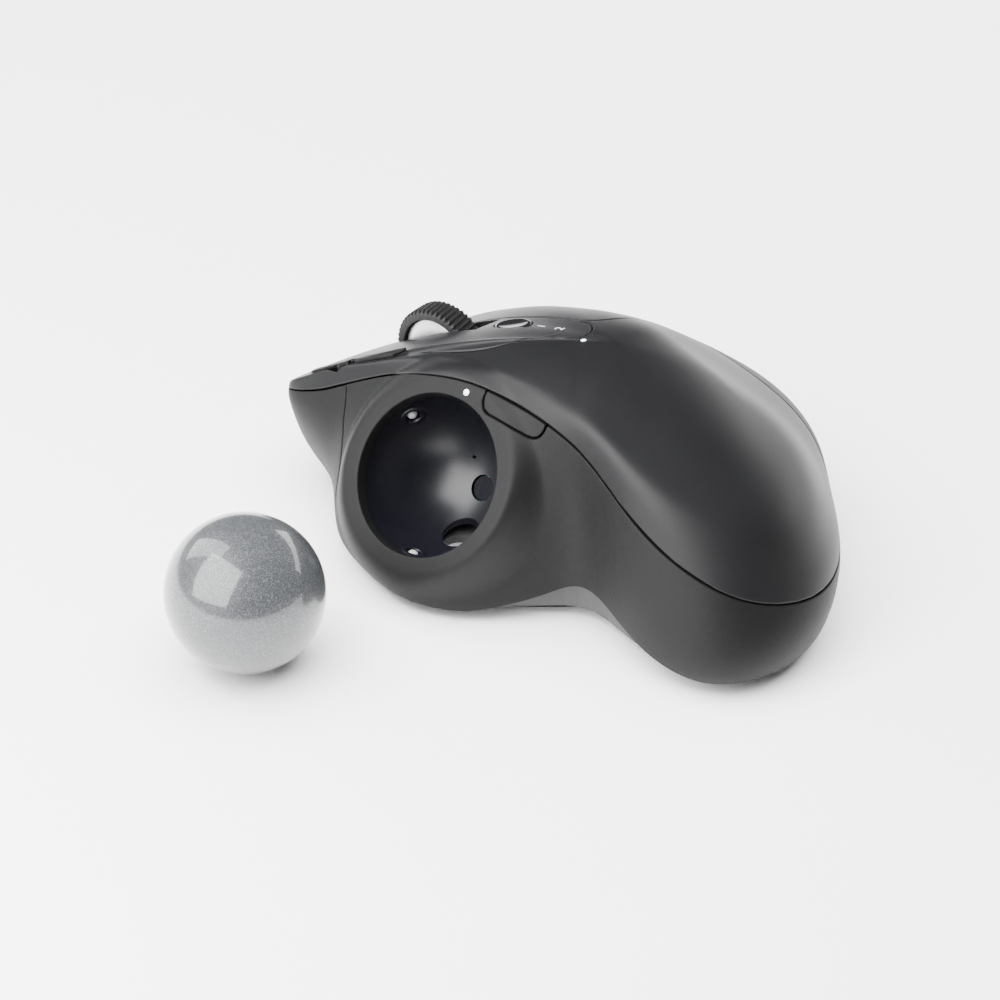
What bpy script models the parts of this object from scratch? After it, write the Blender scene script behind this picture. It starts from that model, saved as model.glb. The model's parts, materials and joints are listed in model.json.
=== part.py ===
"""Right-hand thumb trackball mouse on a hinged steel base, with its ball taken out beside it.

The row frame has +Z up, +Y towards the two main buttons and +X to the right. Sizes below are in millimetres.
"""

import math

import bmesh
import bpy
import numpy as np
from mathutils import Matrix, Vector

MM = 0.001

# Overall sizes of the body, which the skin is stretched to
BODY_LENGTH = 132.5
BODY_WIDTH = 97.6
BODY_HEIGHT = 51.4
DRAWN_SIZE = np.array([97.6, 132.5, 51.4])

# Walls and clearances
WALL = 2.0
SEAM = 0.4
GAP = 0.3
TUB_CLEARANCE = 0.8
FLOOR = 1.8

# Ball and its socket
BALL_RADIUS = 17.0
SOCKET_CLEARANCE = 0.8
SOCKET_WALL = 1.4
MOUTH_CLEARANCE = 0.6
SEAT_DEPTH = 3.0
BEARING_RADIUS = 1.25
EJECT_RADIUS = 4.0
MOUTH_NORMAL = np.array([-0.8105, 0.0200, 0.5854])
MOUTH_CENTRE = (-36.3, 18.1, 26.7)
BALL_ON_TABLE = (-82.6, 28.1)

# Scroll wheel
WHEEL_RADIUS = 11.5
WHEEL_WIDTH = 6.0
TREAD = 2.2
AXLE_RADIUS = 1.0
WHEEL_PLACE = (0.0, 44.0, 28.5)
PIVOT_DROP = WHEEL_RADIUS - 3.0
WHEEL_SIDE_PLAY = 1.15
YOKE_SPAN = WHEEL_WIDTH + 5.0
YOKE_PLATE = 1.2
FRAME_REACH = WHEEL_RADIUS - 1.9
POST_SETBACK = 0.4 * WHEEL_RADIUS

# Base and its tilting hinge
PAD_THICKNESS = 1.0
PLATE_THICKNESS = 1.5
TILT = math.radians(20.0)
HINGE_X = 12.0
HINGE_RISE = 2.9
PIN_RADIUS = 1.0
HINGE_SPACING = 52.0
EAR = (6.0, 3.0)
BOSS_WIDTH = 4.0
BOSS_LENGTH = 7.0
SLIDER_PLACE = (-14.0, -46.0)
SLIDER_TRAVEL = 3.0

POLE = (0.0, -4.0, 51.4)
# Each station of the skin: crest, widest and foot points, and the roundness above and below its crest
STATIONS = [
    ((26, 4, 39.5), (50, 6, 20), (46, 6, 16), 10, 9),
    ((26, 20, 36.5), (48.5, 25, 19), (43, 24, 15), 10, 8),
    ((25, 36, 31), (39.5, 44, 18), (35, 41, 12), 9, 7),
    ((18, 49, 28), (25, 57, 16.5), (22, 52, 7.5), 5, 5),
    ((4, 58, 24.5), (6, 62.5, 16), (5, 56, 4.5), 2.5, 3),
    ((-10, 64, 24), (-11, 65.5, 16.5), (-10, 58, 4), 2.5, 3),
    ((-25, 66.8, 24.5), (-26.5, 66.5, 19), (-23, 60, 6), 2, 3),
    ((-23.5, 60.5, 28.5), (-29.5, 60, 18), (-26, 55, 6), 2.5, 4),
    ((-22, 52, 33), (-35, 49, 13.5), (-31, 46, 5), 2.5, 4),
    ((-20.5, 40, 39), (-44.5, 39, 11), (-41, 37.5, 4), 3, 4),
    ((-20, 28, 43), (-49.5, 26, 9.5), (-46.5, 25, 3), 3, 4),
    ((-20, 15, 46.2), (-50.5, 13, 8.5), (-47.5, 12.5, 2), 3, 4),
    ((-21, 3, 47.3), (-45, 1.5, 7), (-43, 1.5, 1), 3.5, 5),
    ((-22, -8, 46.5), (-35, -10, 7), (-34, -10.5, 1), 4, 6),
    ((-23.5, -20, 44), (-30.5, -24, 7), (-29, -24, 1), 6, 8),
    ((-24.5, -34, 39), (-35, -41, 8), (-32, -39, 1.5), 9, 10),
    ((-21, -47, 35), (-33.5, -58, 8), (-28, -52, 1.5), 11, 11),
    ((-11, -54.5, 33.5), (-17, -68, 11), (-12, -60, 1.5), 12, 11),
    ((2, -53, 33), (4, -63, 15), (3, -56, 3), 12, 11),
    ((15, -42, 34), (22.5, -47.5, 18), (20, -42, 7), 12, 11),
    ((22, -25, 35.5), (39, -32, 19.5), (33, -28, 12), 11, 10),
    ((25, -9, 38), (48.5, -14, 20), (42, -12, 15.5), 10, 9),
]
# Ends in plan of the line inside the body that its walls face
CORE = [(-6.0, -36.0), (-8.0, 34.0)]
# The seam under the palm cover, as its reach down the skin at angles round the pole
RIM_SEAM = [
    (45, 0.50), (70, 0.43), (90, 0.41), (100, 0.42), (106, 0.48), (112, 0.58), (119, 0.57), (128, 0.54),
    (141, 0.52), (153, 0.51), (165, 0.515), (181, 0.52), (207, 0.55), (224, 0.575), (235, 0.60), (247, 0.64),
    (265, 0.72), (285, 0.75), (305, 0.73), (330, 0.68), (355, 0.62), (380, 0.58),
]
# The thumb shell's lower edge, which arches up over the waist
LOWER_EDGE = [
    (45, 0.98), (100, 0.98), (150, 0.98), (160, 0.96), (170, 0.94), (181, 0.89), (191, 0.855), (206, 0.81),
    (214, 0.81), (225, 0.86), (236, 0.93), (250, 0.98), (330, 0.98), (380, 0.98),
]
# How far above that seam the main buttons end
LIP_RISE = 0.05
# Seams across the top in plan; the spine between them leaves room for the wheel
SPINE_HALF = (WHEEL_WIDTH / 2 + WHEEL_SIDE_PLAY + 0.75) * DRAWN_SIZE[0] / BODY_WIDTH
LEFT_SEAM = [
    (-16.4, 41.4), (-17.0, 38.0), (-17.2, 34.0), (-17.0, 31.0), (-16.4, 27.8), (-15.5, 24.5), (-14.2, 21.4),
    (-12.5, 18.8), (-10.4, 16.6), (-7.8, 14.8), (-SPINE_HALF, 13.2),
]
RIGHT_SEAM = [
    (SPINE_HALF, 10.4), (6.4, 8.0), (8.4, 6.0), (11.0, 4.7), (14.0, 4.2), (17.6, 4.7), (21.0, 6.0), (26.5, 9.6),
]
BAND_REAR = (-19.1, 41.7)
BAND_FRONT = (-23.6, 63.8)
FRONT_CORNER = (-20.3, 65.0)
MODE_PLACE = (0.0, 24.5)
MODE_SLOPE = math.radians(22.0)
MODE_HALF = (2.7, 5.0)
PRECISION_ANGLE = 173.0
SPINE_END = 9.0
FRONT_SEAM = [(0.5, 122.5), (0.67, 126), (0.77, 131), (1.0, 136)]
BEZEL_END = 46.0
PORT_HEIGHT = 15.0

FINISHES = {
    "soft_touch": ((0.030, 0.030, 0.033), 0.55, 0.0),
    "button_plastic": ((0.032, 0.032, 0.035), 0.48, 0.0),
    "dark_plastic": ((0.018, 0.018, 0.019), 0.60, 0.0),
    "cup_plastic": ((0.012, 0.012, 0.016), 0.42, 0.0),
    "gloss_black": ((0.008, 0.008, 0.009), 0.10, 0.0),
    "ball_lacquer": ((0.30, 0.31, 0.32), 0.16, 0.0),
    "rubber": ((0.014, 0.014, 0.014), 0.80, 0.0),
    "wheel_metal": ((0.62, 0.62, 0.63), 0.30, 1.0),
    "steel": ((0.42, 0.42, 0.43), 0.35, 1.0),
    "bearing_ceramic": ((0.80, 0.80, 0.78), 0.12, 0.0),
    "light_pipe": ((0.90, 0.95, 0.92), 0.30, 0.0),
    "circuit_board": ((0.02, 0.12, 0.05), 0.45, 0.0),
    "battery_wrap": ((0.35, 0.37, 0.40), 0.35, 0.0),
    "sensor_glass": ((0.03, 0.03, 0.04), 0.08, 0.0),
    "inner_plastic": ((0.05, 0.05, 0.055), 0.50, 0.0),
}


def clear_scene():
    """Remove every object that the file starts with."""
    for obj in list(bpy.data.objects):
        bpy.data.objects.remove(obj, do_unlink=True)


def new_collection(name, hidden=False):
    """A collection under the scene's own."""
    collection = bpy.data.collections.new(name)
    collection.hide_render = hidden
    bpy.context.scene.collection.children.link(collection)
    return collection


clear_scene()
PARTS = new_collection("trackball_mouse")
CUTTERS = new_collection("cutters", hidden=True)


def finish(name):
    """The Principled material of one finish, made once."""
    if name in bpy.data.materials:
        return bpy.data.materials[name]
    colour, roughness, metallic = FINISHES[name]
    material = bpy.data.materials.new(name)
    material.use_nodes = True
    shader = material.node_tree.nodes["Principled BSDF"]
    shader.inputs["Base Color"].default_value = (*colour, 1.0)
    shader.inputs["Roughness"].default_value = roughness
    shader.inputs["Metallic"].default_value = metallic
    return material


# ---------------------------------------------------------------- places


def place(x, y, z=0.0):
    """A point of the drawing, carried to the body's own length, width and height."""
    return np.array([x, y, z]) * np.array([BODY_WIDTH, BODY_LENGTH, BODY_HEIGHT]) / DRAWN_SIZE


def unit(vectors):
    """Vectors over their lengths."""
    return vectors / np.linalg.norm(vectors, axis=-1, keepdims=True)


N = unit(MOUTH_NORMAL)
MOUTH = place(*MOUTH_CENTRE)
SEAT = MOUTH - SEAT_DEPTH * N
SOCKET_RADIUS = BALL_RADIUS + SOCKET_CLEARANCE
MOUTH_RADIUS = BALL_RADIUS + MOUTH_CLEARANCE
PLATE_TOP = PAD_THICKNESS + GAP + PLATE_THICKNESS
UNDERSIDE = PLATE_TOP + GAP
HINGE = np.array([place(HINGE_X, 0)[0], 0.0, UNDERSIDE + HINGE_RISE])
WHEEL = place(*WHEEL_PLACE)


# ---------------------------------------------------------------- the skin


def periodic_spline(knots, values, at):
    """Cubic spline through values at knots (radians) round a full turn, read at the angles given."""
    count = len(knots)
    steps = np.diff(np.append(knots, knots[0] + 2 * math.pi))
    system = np.zeros((count, count))
    right = np.zeros_like(values)
    for i in range(count):
        before, after = steps[i - 1], steps[i]
        nxt = (i + 1) % count
        system[i, i - 1] += before
        system[i, i] += 2 * (before + after)
        system[i, nxt] += after
        right[i] = 6 * ((values[nxt] - values[i]) / after - (values[i] - values[i - 1]) / before)
    bend = np.linalg.solve(system, right)
    wrapped = (at - knots[0]) % (2 * math.pi) + knots[0]
    i = np.searchsorted(knots, wrapped, side="right") - 1
    j = (i + 1) % count
    width = steps[i][:, None]
    a = (wrapped - knots[i])[:, None]
    b = width - a
    cubic = (bend[i] * b**3 + bend[j] * a**3) / (6 * width)
    left = values[i] / width - bend[i] * width / 6
    right = values[j] / width - bend[j] * width / 6
    return cubic + left * b + right * a


RINGS = 8
KNOTS = np.concatenate([np.zeros(4), np.arange(1, RINGS - 3) / (RINGS - 3), np.ones(4)])


def blending(reach):
    """Clamped cubic B-spline weights of the control rings, for reaches from 0 at the pole to 1 at the foot."""
    reach = np.clip(reach, 0.0, 1.0 - 1e-9)
    spans = range(len(KNOTS) - 1)
    weights = [((reach >= KNOTS[i]) & (reach < KNOTS[i + 1])).astype(float) for i in spans]
    for degree in range(1, 4):
        raised = []
        for i in range(len(weights) - 1):
            total = np.zeros_like(reach)
            if KNOTS[i + degree] > KNOTS[i]:
                total += (reach - KNOTS[i]) / (KNOTS[i + degree] - KNOTS[i]) * weights[i]
            if KNOTS[i + degree + 1] > KNOTS[i + 1]:
                rest = (KNOTS[i + degree + 1] - reach) / (KNOTS[i + degree + 1] - KNOTS[i + 1])
                total += rest * weights[i + 1]
            raised.append(total)
        weights = raised
    return np.stack(weights, -1)


def control_net():
    """Control points of the skin, station by station and ring by ring, and the stations' angles."""
    scale = place(1, 1, 1)
    pole = np.array(POLE) * scale
    crest, widest, foot = (np.array([s[k] for s in STATIONS], float) * scale for k in range(3))
    above, below = (np.array([s[k] for s in STATIONS], float)[:, None] for k in (3, 4))
    centre = np.tile(pole, (len(STATIONS), 1))
    inner = centre + 0.42 * (crest - centre)
    inner[:, 2] = pole[2] - 0.13 * (pole[2] - crest[:, 2])
    low = 0.45 * widest + 0.55 * foot
    low[:, 2] = foot[:, 2] + 0.12 * (widest[:, 2] - foot[:, 2])
    upper = crest + above * unit(inner - crest)
    side = crest + below * unit(widest - crest)
    net = np.stack([centre, inner, upper, crest, side, widest, low, foot], 1)
    angles = np.unwrap(np.arctan2(widest[:, 1] - pole[1], widest[:, 0] - pole[0]))
    return net, angles


NET, ANGLES = control_net()


def raw_skin(turns, reaches):
    """Points of the control net's surface at angles round the pole and reaches down from it."""
    rings = periodic_spline(ANGLES, NET.reshape(len(NET), -1), turns.ravel()).reshape(-1, RINGS, 3)
    points = np.einsum("nk,nkd->nd", blending(reaches.ravel()), rings)
    return points.reshape(turns.shape + (3,))


def outward(points, reaches):
    """Directions out of the body: upwards over the top, turning level towards the sides."""
    share = np.clip((reaches - 0.15) / 0.47, 0.0, 1.0)
    tilt = 0.5 * math.pi * share * share * (3 - 2 * share)
    ends = np.array([place(*end)[:2] for end in CORE])
    run = ends[1] - ends[0]
    along = np.clip((points[..., :2] - ends[0]) @ run / (run @ run), 0.0, 1.0)
    level = unit(points[..., :2] - ends[0] - along[..., None] * run)
    return np.concatenate([level * np.sin(tilt)[..., None], np.cos(tilt)[..., None]], -1)


def flatten_at_mouth(points, inset):
    """Ease the skin onto the plane of the ball's mouth, near the mouth."""
    offset = points - MOUTH
    height = offset @ N
    radius = np.linalg.norm(offset - height[..., None] * N, axis=-1)
    start, end = MOUTH_RADIUS + 3.2, MOUTH_RADIUS + 9.0
    ease = np.clip((end - radius) / (end - start), 0.0, 1.0)
    ease = ease * ease * (3 - 2 * ease) * (np.abs(height) < 12.0)
    return points - (ease * (height + inset))[..., None] * N


def thin_lip(reaches):
    """Wall of the top pieces, which thins towards the lip."""
    share = np.clip((reaches - 0.26) / 0.14, 0.0, 1.0)
    return WALL - 1.1 * share * share * (3 - 2 * share)


def skin(turns, reaches, inset=0.0):
    """Points of the outer skin, or of the surface set in from it."""
    points = raw_skin(turns, reaches)
    points = points - np.broadcast_to(inset, reaches.shape)[..., None] * outward(points, reaches)
    return flatten_at_mouth(points, inset)


def arc_table():
    """Reaches down the skin, and the share of the way from pole to foot that each has covered."""
    reaches = np.linspace(0.0, 1.0, 201)
    turns, grid = np.meshgrid(ANGLES, reaches, indexing="ij")
    steps = np.linalg.norm(np.diff(raw_skin(turns, grid), axis=1), axis=-1).mean(0)
    covered = np.concatenate([[0.0], np.cumsum(steps)])
    return reaches, covered / covered[-1]


REACHES, COVERED = arc_table()


def to_disc(turns, reaches):
    """Flat coordinates in which the pole is the origin, so patches may cross it."""
    radius = np.interp(reaches, REACHES, COVERED)
    return np.stack([radius * np.cos(turns), radius * np.sin(turns)], -1)


def from_disc(flat):
    """Angles and reaches of flat coordinates."""
    radius = np.hypot(flat[..., 0], flat[..., 1])
    return np.arctan2(flat[..., 1], flat[..., 0]), np.interp(radius, COVERED, REACHES)


def locate(plan):
    """Flat coordinates of the skin's points above drawing points (x, y), by Newton steps."""
    target = np.array(plan, float) * place(1, 1, 1)[:2]
    around, across = np.linspace(-math.pi, math.pi, 91), np.linspace(0.02, 0.5, 25)
    turns, reaches = np.meshgrid(around, across, indexing="ij")
    known = skin(turns, reaches)[..., :2].reshape(-1, 2)
    nearest = np.linalg.norm(target[:, None] - known, axis=-1).argmin(1)
    flat = to_disc(turns, reaches).reshape(-1, 2)[nearest]
    step = 1e-3
    for _ in range(12):
        here = skin(*from_disc(flat))[..., :2]
        by_u = (skin(*from_disc(flat + [step, 0]))[..., :2] - here) / step
        by_v = (skin(*from_disc(flat + [0, step]))[..., :2] - here) / step
        jacobian = np.stack([by_u, by_v], -1)
        change = np.linalg.solve(jacobian, (target - here)[..., None])[..., 0]
        flat = flat + np.clip(change, -0.05, 0.05)
    return flat


def edge_reach(table, turns):
    """Reach of a seam at the given angles."""
    knots = np.radians([row[0] for row in table])
    values = np.array([[row[1]] for row in table])
    return periodic_spline(knots, values, turns.ravel()).reshape(turns.shape)


# ---------------------------------------------------------------- solids


def add_object(name, mesh, material, collection=None):
    """Put a mesh in the scene under a name and finish."""
    obj = bpy.data.objects.new(name, mesh)
    (collection or PARTS).objects.link(obj)
    if material:
        mesh.materials.append(finish(material))
    return obj


def mesh_from(bm, name, sharp=35.0):
    """A mesh of a bmesh, scaled to metres and shaded smooth up to an angle."""
    bmesh.ops.scale(bm, vec=(MM, MM, MM), verts=bm.verts)
    if bm.calc_volume(signed=True) < 0:
        bmesh.ops.reverse_faces(bm, faces=bm.faces)
    mesh = bpy.data.meshes.new(name)
    bm.to_mesh(mesh)
    bm.free()
    mesh.shade_smooth()
    mesh.set_sharp_from_angle(angle=math.radians(sharp))
    return mesh


def pulled_in(points, trim):
    """A grid whose edges are drawn in along the grid by half a seam."""
    points = points.copy()
    for axis in (0, 1):
        grid = points if axis == 0 else points.transpose(1, 0, 2)
        for edge, inward in ((0, 1), (-1, -2)):
            grid[edge] += unit(grid[inward] - grid[edge]) * trim
    return points


def sandwich(name, outer, inner, material, collection=None):
    """Closed solid between two grids of the same shape, a loft across the wall."""
    rows, columns = outer.shape[:2]
    bm = bmesh.new()
    sheets = []
    for grid in (outer, inner):
        sheets.append([[bm.verts.new(point) for point in row] for row in grid])
    for layer, sheet in enumerate(sheets):
        for i in range(rows - 1):
            for j in range(columns - 1):
                face = [sheet[i][j], sheet[i + 1][j], sheet[i + 1][j + 1], sheet[i][j + 1]]
                bm.faces.new(face if layer == 0 else face[::-1])
    border = [(i, 0) for i in range(rows)] + [(rows - 1, j) for j in range(1, columns)]
    border += [(i, columns - 1) for i in range(rows - 2, -1, -1)]
    border += [(0, j) for j in range(columns - 2, 0, -1)]
    for (i, j), (k, m) in zip(border, border[1:] + border[:1]):
        bm.faces.new([sheets[0][k][m], sheets[0][i][j], sheets[1][i][j], sheets[1][k][m]])
    return add_object(name, mesh_from(bm, name), material, collection)


def panel(name, turns, reaches, material, depths=(0.0, WALL), trim=SEAM / 2, collection=None):
    """A patch of the skin with a wall's thickness."""
    outer = pulled_in(skin(turns, reaches, depths[0]), trim)
    inner = pulled_in(skin(turns, reaches, depths[1] if depths[1] else thin_lip(reaches)), trim)
    return sandwich(name, outer, inner, material, collection)


def add_box(bm, size, centre, turn=None):
    """A box in a bmesh."""
    made = bmesh.ops.create_cube(bm, size=1.0)
    matrix = Matrix.Translation(Vector(centre)) @ (turn or Matrix()) @ Matrix.Diagonal((*size, 1.0))
    bmesh.ops.transform(bm, matrix=matrix, verts=made["verts"])


def facing(direction):
    """The turn that takes +Z to a direction."""
    return Vector((0, 0, 1)).rotation_difference(Vector(direction)).to_matrix().to_4x4()


def add_rod(bm, radius, length, centre, axis=(0, 0, 1), sides=20, end_radius=None):
    """A cylinder, or a cone with another radius at its far end, in a bmesh."""
    matrix = Matrix.Translation(Vector(centre)) @ facing(axis)
    far = radius if end_radius is None else end_radius
    bmesh.ops.create_cone(
        bm, cap_ends=True, segments=sides, radius1=radius, radius2=far, depth=length, matrix=matrix
    )


def add_ball(bm, radius, centre, sides=16):
    """A sphere in a bmesh."""
    bmesh.ops.create_uvsphere(
        bm, u_segments=sides, v_segments=sides // 2, radius=radius, matrix=Matrix.Translation(Vector(centre))
    )


def built(name, material, fill, collection=None):
    """An object from a function that fills a bmesh."""
    bm = bmesh.new()
    fill(bm)
    return add_object(name, mesh_from(bm, name), material, collection)


def box(name, size, centre, material, bevel=0.0):
    """A box-shaped part, with its edges rounded where bevel is given."""
    obj = built(name, material, lambda bm: add_box(bm, size, centre))
    if bevel:
        round_edges(obj, bevel)
    return obj


def round_edges(obj, width, segments=2):
    """Bevel an object's sharp edges."""
    bevel = obj.modifiers.new("rounded edges", "BEVEL")
    bevel.width = width * MM
    bevel.segments = segments
    bevel.limit_method = "ANGLE"


def cutter(name, fill):
    """A hidden solid that only cuts."""
    obj = built(name, None, fill, CUTTERS)
    obj.hide_render = True
    obj.display_type = "WIRE"
    return obj


def combine(obj, other, operation="DIFFERENCE"):
    """Cut an object by a cutter, or join or cross them."""
    boolean = obj.modifiers.new(f"{operation.lower()} {other.name}", "BOOLEAN")
    boolean.operation = operation
    boolean.solver = "EXACT"
    boolean.object = other


def turned(name, profile, centre, axis, material, sides=48, collection=None):
    """A solid turned from a closed profile of (radius, height) points, about an axis through a centre."""
    bm = bmesh.new()
    ring = [bm.verts.new((max(radius, 0.0), 0.0, height)) for radius, height in profile]
    for a, b in zip(ring, ring[1:] + ring[:1]):
        if a.co.x > 0 or b.co.x > 0:
            bm.edges.new((a, b))
    bmesh.ops.spin(
        bm, geom=bm.verts[:] + bm.edges[:], cent=(0, 0, 0), axis=(0, 0, 1), angle=2 * math.pi, steps=sides
    )
    bmesh.ops.remove_doubles(bm, verts=bm.verts, dist=1e-4)
    bmesh.ops.transform(bm, matrix=Matrix.Translation(Vector(centre)) @ facing(axis), verts=bm.verts)
    bmesh.ops.recalc_face_normals(bm, faces=bm.faces)
    return add_object(name, mesh_from(bm, name), material, collection)


# ---------------------------------------------------------------- outer shells


def stacked(name, rings, first, last, material, collection=None):
    """Closed solid through rings of points, with a point closing either end."""
    bm = bmesh.new()
    loops = [[bm.verts.new(point) for point in ring] for ring in rings]
    sides = len(loops[0])
    for upper, lower in zip(loops, loops[1:]):
        for i in range(sides):
            j = (i + 1) % sides
            bm.faces.new([upper[i], lower[i], lower[j], upper[j]])
    for loop, point in ((loops[0], first), (loops[-1], last)):
        centre = bm.verts.new(point)
        for i in range(sides):
            bm.faces.new([loop[i], loop[(i + 1) % sides], centre])
    bmesh.ops.recalc_face_normals(bm, faces=bm.faces)
    return add_object(name, mesh_from(bm, name), material, collection)


def seam_polygon(points, grow):
    """Plan outline in millimetres from drawing points, offset outwards by grow; points run anticlockwise."""
    plan = np.array(points, float) * place(1, 1, 1)[:2]
    before = unit(plan - np.roll(plan, 1, axis=0))
    after = unit(np.roll(plan, -1, axis=0) - plan)
    normals = [np.stack([run[:, 1], -run[:, 0]], -1) for run in (before, after)]
    mitre = unit(normals[0] + normals[1])
    return plan + grow * mitre / np.clip((mitre * normals[0]).sum(-1), 0.5, 1.0)[:, None]


def prism(name, outline):
    """Upright cutter with a plan outline."""
    bm = bmesh.new()
    low, high = ([bm.verts.new((x, y, z)) for x, y in outline] for z in (-5.0, 80.0))
    bm.faces.new(low[::-1])
    bm.faces.new(high)
    for i in range(len(outline)):
        j = (i + 1) % len(outline)
        bm.faces.new([low[i], low[j], high[j], high[i]])
    bmesh.ops.recalc_face_normals(bm, faces=bm.faces)
    obj = add_object(name, mesh_from(bm, name), None, CUTTERS)
    obj.hide_render = True
    obj.display_type = "WIRE"
    return obj


def top_patch(name, outline, span, columns, material, rise=0.0, lift=0.0):
    """Piece of the top inside a plan outline, from the skin between two angles down to the buttons' lip."""
    turns = np.radians(np.linspace(*span, columns))[:, None]
    share = np.linspace(0.0, 1.0, 12)[None, :]
    lip = edge_reach(RIM_SEAM, turns) - LIP_RISE - lift
    reaches = 0.012 + (lip - 0.012) * share
    patch = panel(name, turns + 0 * share, reaches, material, (-rise, None))
    combine(patch, prism(name + "_outline", seam_polygon(outline, -SEAM / 2)), "INTERSECT")
    return patch


def spine_arc():
    """Plan of the seam round the spine's rear end, from left to right."""
    turns = np.linspace(math.pi, 2 * math.pi, 11)
    return [(SPINE_HALF * math.cos(a), SPINE_END + SPINE_HALF * math.sin(a)) for a in turns]


def palm_cover():
    """Soft cover from the front-left tip, over the hump, to the right-hand side."""
    turns = np.linspace(0.0, 2 * math.pi, 72, endpoint=False)
    rim = edge_reach(RIM_SEAM, turns)
    shares = np.linspace(0.0, 1.0, 13)[1:]
    sheets = [[skin(turns, rim * share, deep * thin_lip(rim * share)) for share in shares] for deep in (0, 1)]
    for sheet in sheets:
        sheet[-1] = sheet[-1] + unit(sheet[-2] - sheet[-1]) * SEAM / 2
    poles = [skin(np.zeros(1), np.zeros(1), inset)[0] for inset in (0.0, WALL)]
    cover = stacked("palm_cover", sheets[0] + sheets[1][::-1], poles[0], poles[1], "soft_touch")
    opening = LEFT_SEAM + spine_arc() + RIGHT_SEAM + [(90.0, 47.0), (90.0, 100.0), (-20.6, 100.0)]
    opening += [FRONT_CORNER, BAND_FRONT, BAND_REAR]
    combine(cover, prism("button_opening", seam_polygon(opening, SEAM / 2)))
    combine(cover, cutter("battery_light_hole", battery_light_hole))
    return cover


def main_buttons():
    """The two main buttons, of which the right one wraps down the front right-hand side."""
    left = LEFT_SEAM + [(-SPINE_HALF, 100.0), (-20.6, 100.0), FRONT_CORNER]
    top_patch("left_button", left, (82.0, 150.0), 30, "button_plastic")
    right = [(SPINE_HALF, 100.0)] + RIGHT_SEAM + [(90.0, 47.0), (90.0, 100.0)]
    top_patch("right_button", right, (12.0, 96.0), 34, "button_plastic")


def side_key(name, start, end):
    """One of the two thin keys along the left button's outer edge, from one share of their run to another."""
    inner, outer = (np.array([a, b]) for a, b in ((LEFT_SEAM[0], FRONT_CORNER), (BAND_REAR, BAND_FRONT)))
    outline = [ends[0] + share * (ends[1] - ends[0]) for ends, share in
               ((outer, end), (outer, start), (inner, start), (inner, end))]
    return top_patch(name, outline, (102.0, 122.0), 14, "dark_plastic", 0.7, 0.08)


def spine_strip():
    """Narrow strip between the main buttons, with a round rear end and the wheel's slot."""
    outline = spine_arc() + [(SPINE_HALF, 100.0), (-SPINE_HALF, 100.0)]
    strip = top_patch("spine_strip", outline, (30.0, 150.0), 40, "button_plastic")
    combine(strip, cutter("wheel_slot", wheel_slot))
    combine(strip, cutter("mode_recess", lambda bm: mode_shape(bm, GAP + 0.1, 12.0)))
    return strip


def wheel_slot(bm):
    """Slot for the wheel, as wide as its side-to-side play needs."""
    size = (WHEEL_WIDTH + 2 * WHEEL_SIDE_PLAY, 2 * WHEEL_RADIUS + 1.6, 60.0)
    add_box(bm, size, WHEEL)


def mode_shape(bm, grow, height):
    """Oval plug under the mode button's place."""
    top = skin(*from_disc(locate([MODE_PLACE])))[0]
    matrix = Matrix.Translation(Vector(top - np.array([0.0, 0.0, 1.5])))
    matrix = matrix @ Matrix.Rotation(-MODE_SLOPE, 4, "X")
    matrix = matrix @ Matrix.Diagonal((MODE_HALF[0] + grow, MODE_HALF[1] + grow, height, 1.0))
    bmesh.ops.create_cone(bm, cap_ends=True, segments=28, radius1=1.0, radius2=1.0, depth=1.0, matrix=matrix)


def mode_button():
    """Oval key that switches between two host devices."""
    button = built("mode_button", "gloss_black", lambda bm: mode_shape(bm, 0.0, 4.0))
    round_edges(button, 0.5)
    return button


def skirt_grid(start, end, columns, rows):
    """Angles and reaches of the skirt between two slanting ends."""
    share = np.linspace(0.0, 1.0, columns)[:, None]
    down = np.linspace(0.0, 1.0, rows)[None, :]
    reach_guess = 0.53 + 0.45 * down
    turns = (1 - share) * start(reach_guess) + share * end(reach_guess)
    top = edge_reach(RIM_SEAM, turns)
    bottom = edge_reach(LOWER_EDGE, turns)
    return turns, top + (bottom - top) * down


def front_seam(reaches):
    """Angle of the seam between bezel and thumb shell, by reach."""
    table = np.array(FRONT_SEAM)
    return np.radians(np.interp(reaches, table[:, 0], table[:, 1]))


def front_bezel():
    """Front panel below the buttons, undercut towards the table."""
    turns, reaches = skirt_grid(lambda r: np.radians(BEZEL_END) + 0 * r, front_seam, 20, 7)
    bezel = panel("front_bezel", turns, reaches, "dark_plastic")
    combine(bezel, cutter("charge_port_hole", lambda bm: port_shape(bm, GAP, 14.0)))
    return bezel


def port_shape(bm, grow, depth):
    """Charging socket's outline, pushed through the bezel."""
    x, y, _ = place(13.0, 60.0)
    add_box(bm, (8.0 + 2 * grow, depth, 3.0 + 2 * grow), (x, y, PORT_HEIGHT))


def thumb_shell():
    """Matt shell with the ball's mouth: from the front seam round the waist, rear and right side."""
    turns, reaches = skirt_grid(front_seam, lambda r: np.radians(BEZEL_END + 360.0) + 0 * r, 64, 8)
    shell = panel("thumb_shell", turns, reaches, "dark_plastic")
    combine(shell, cutter("mouth_hole", mouth_hole))
    combine(shell, precision_patch("precision_notch", (-3.0, 6.0), 0.0, CUTTERS))
    combine(shell, cutter("thumb_light_hole", lambda bm: light_rod(bm, THUMB_LIGHT, N, 1.0, 10.0)))
    return shell


def mouth_hole(bm):
    """Round mouth for the ball."""
    add_rod(bm, MOUTH_RADIUS, 12.0, MOUTH, N, 64)


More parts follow.
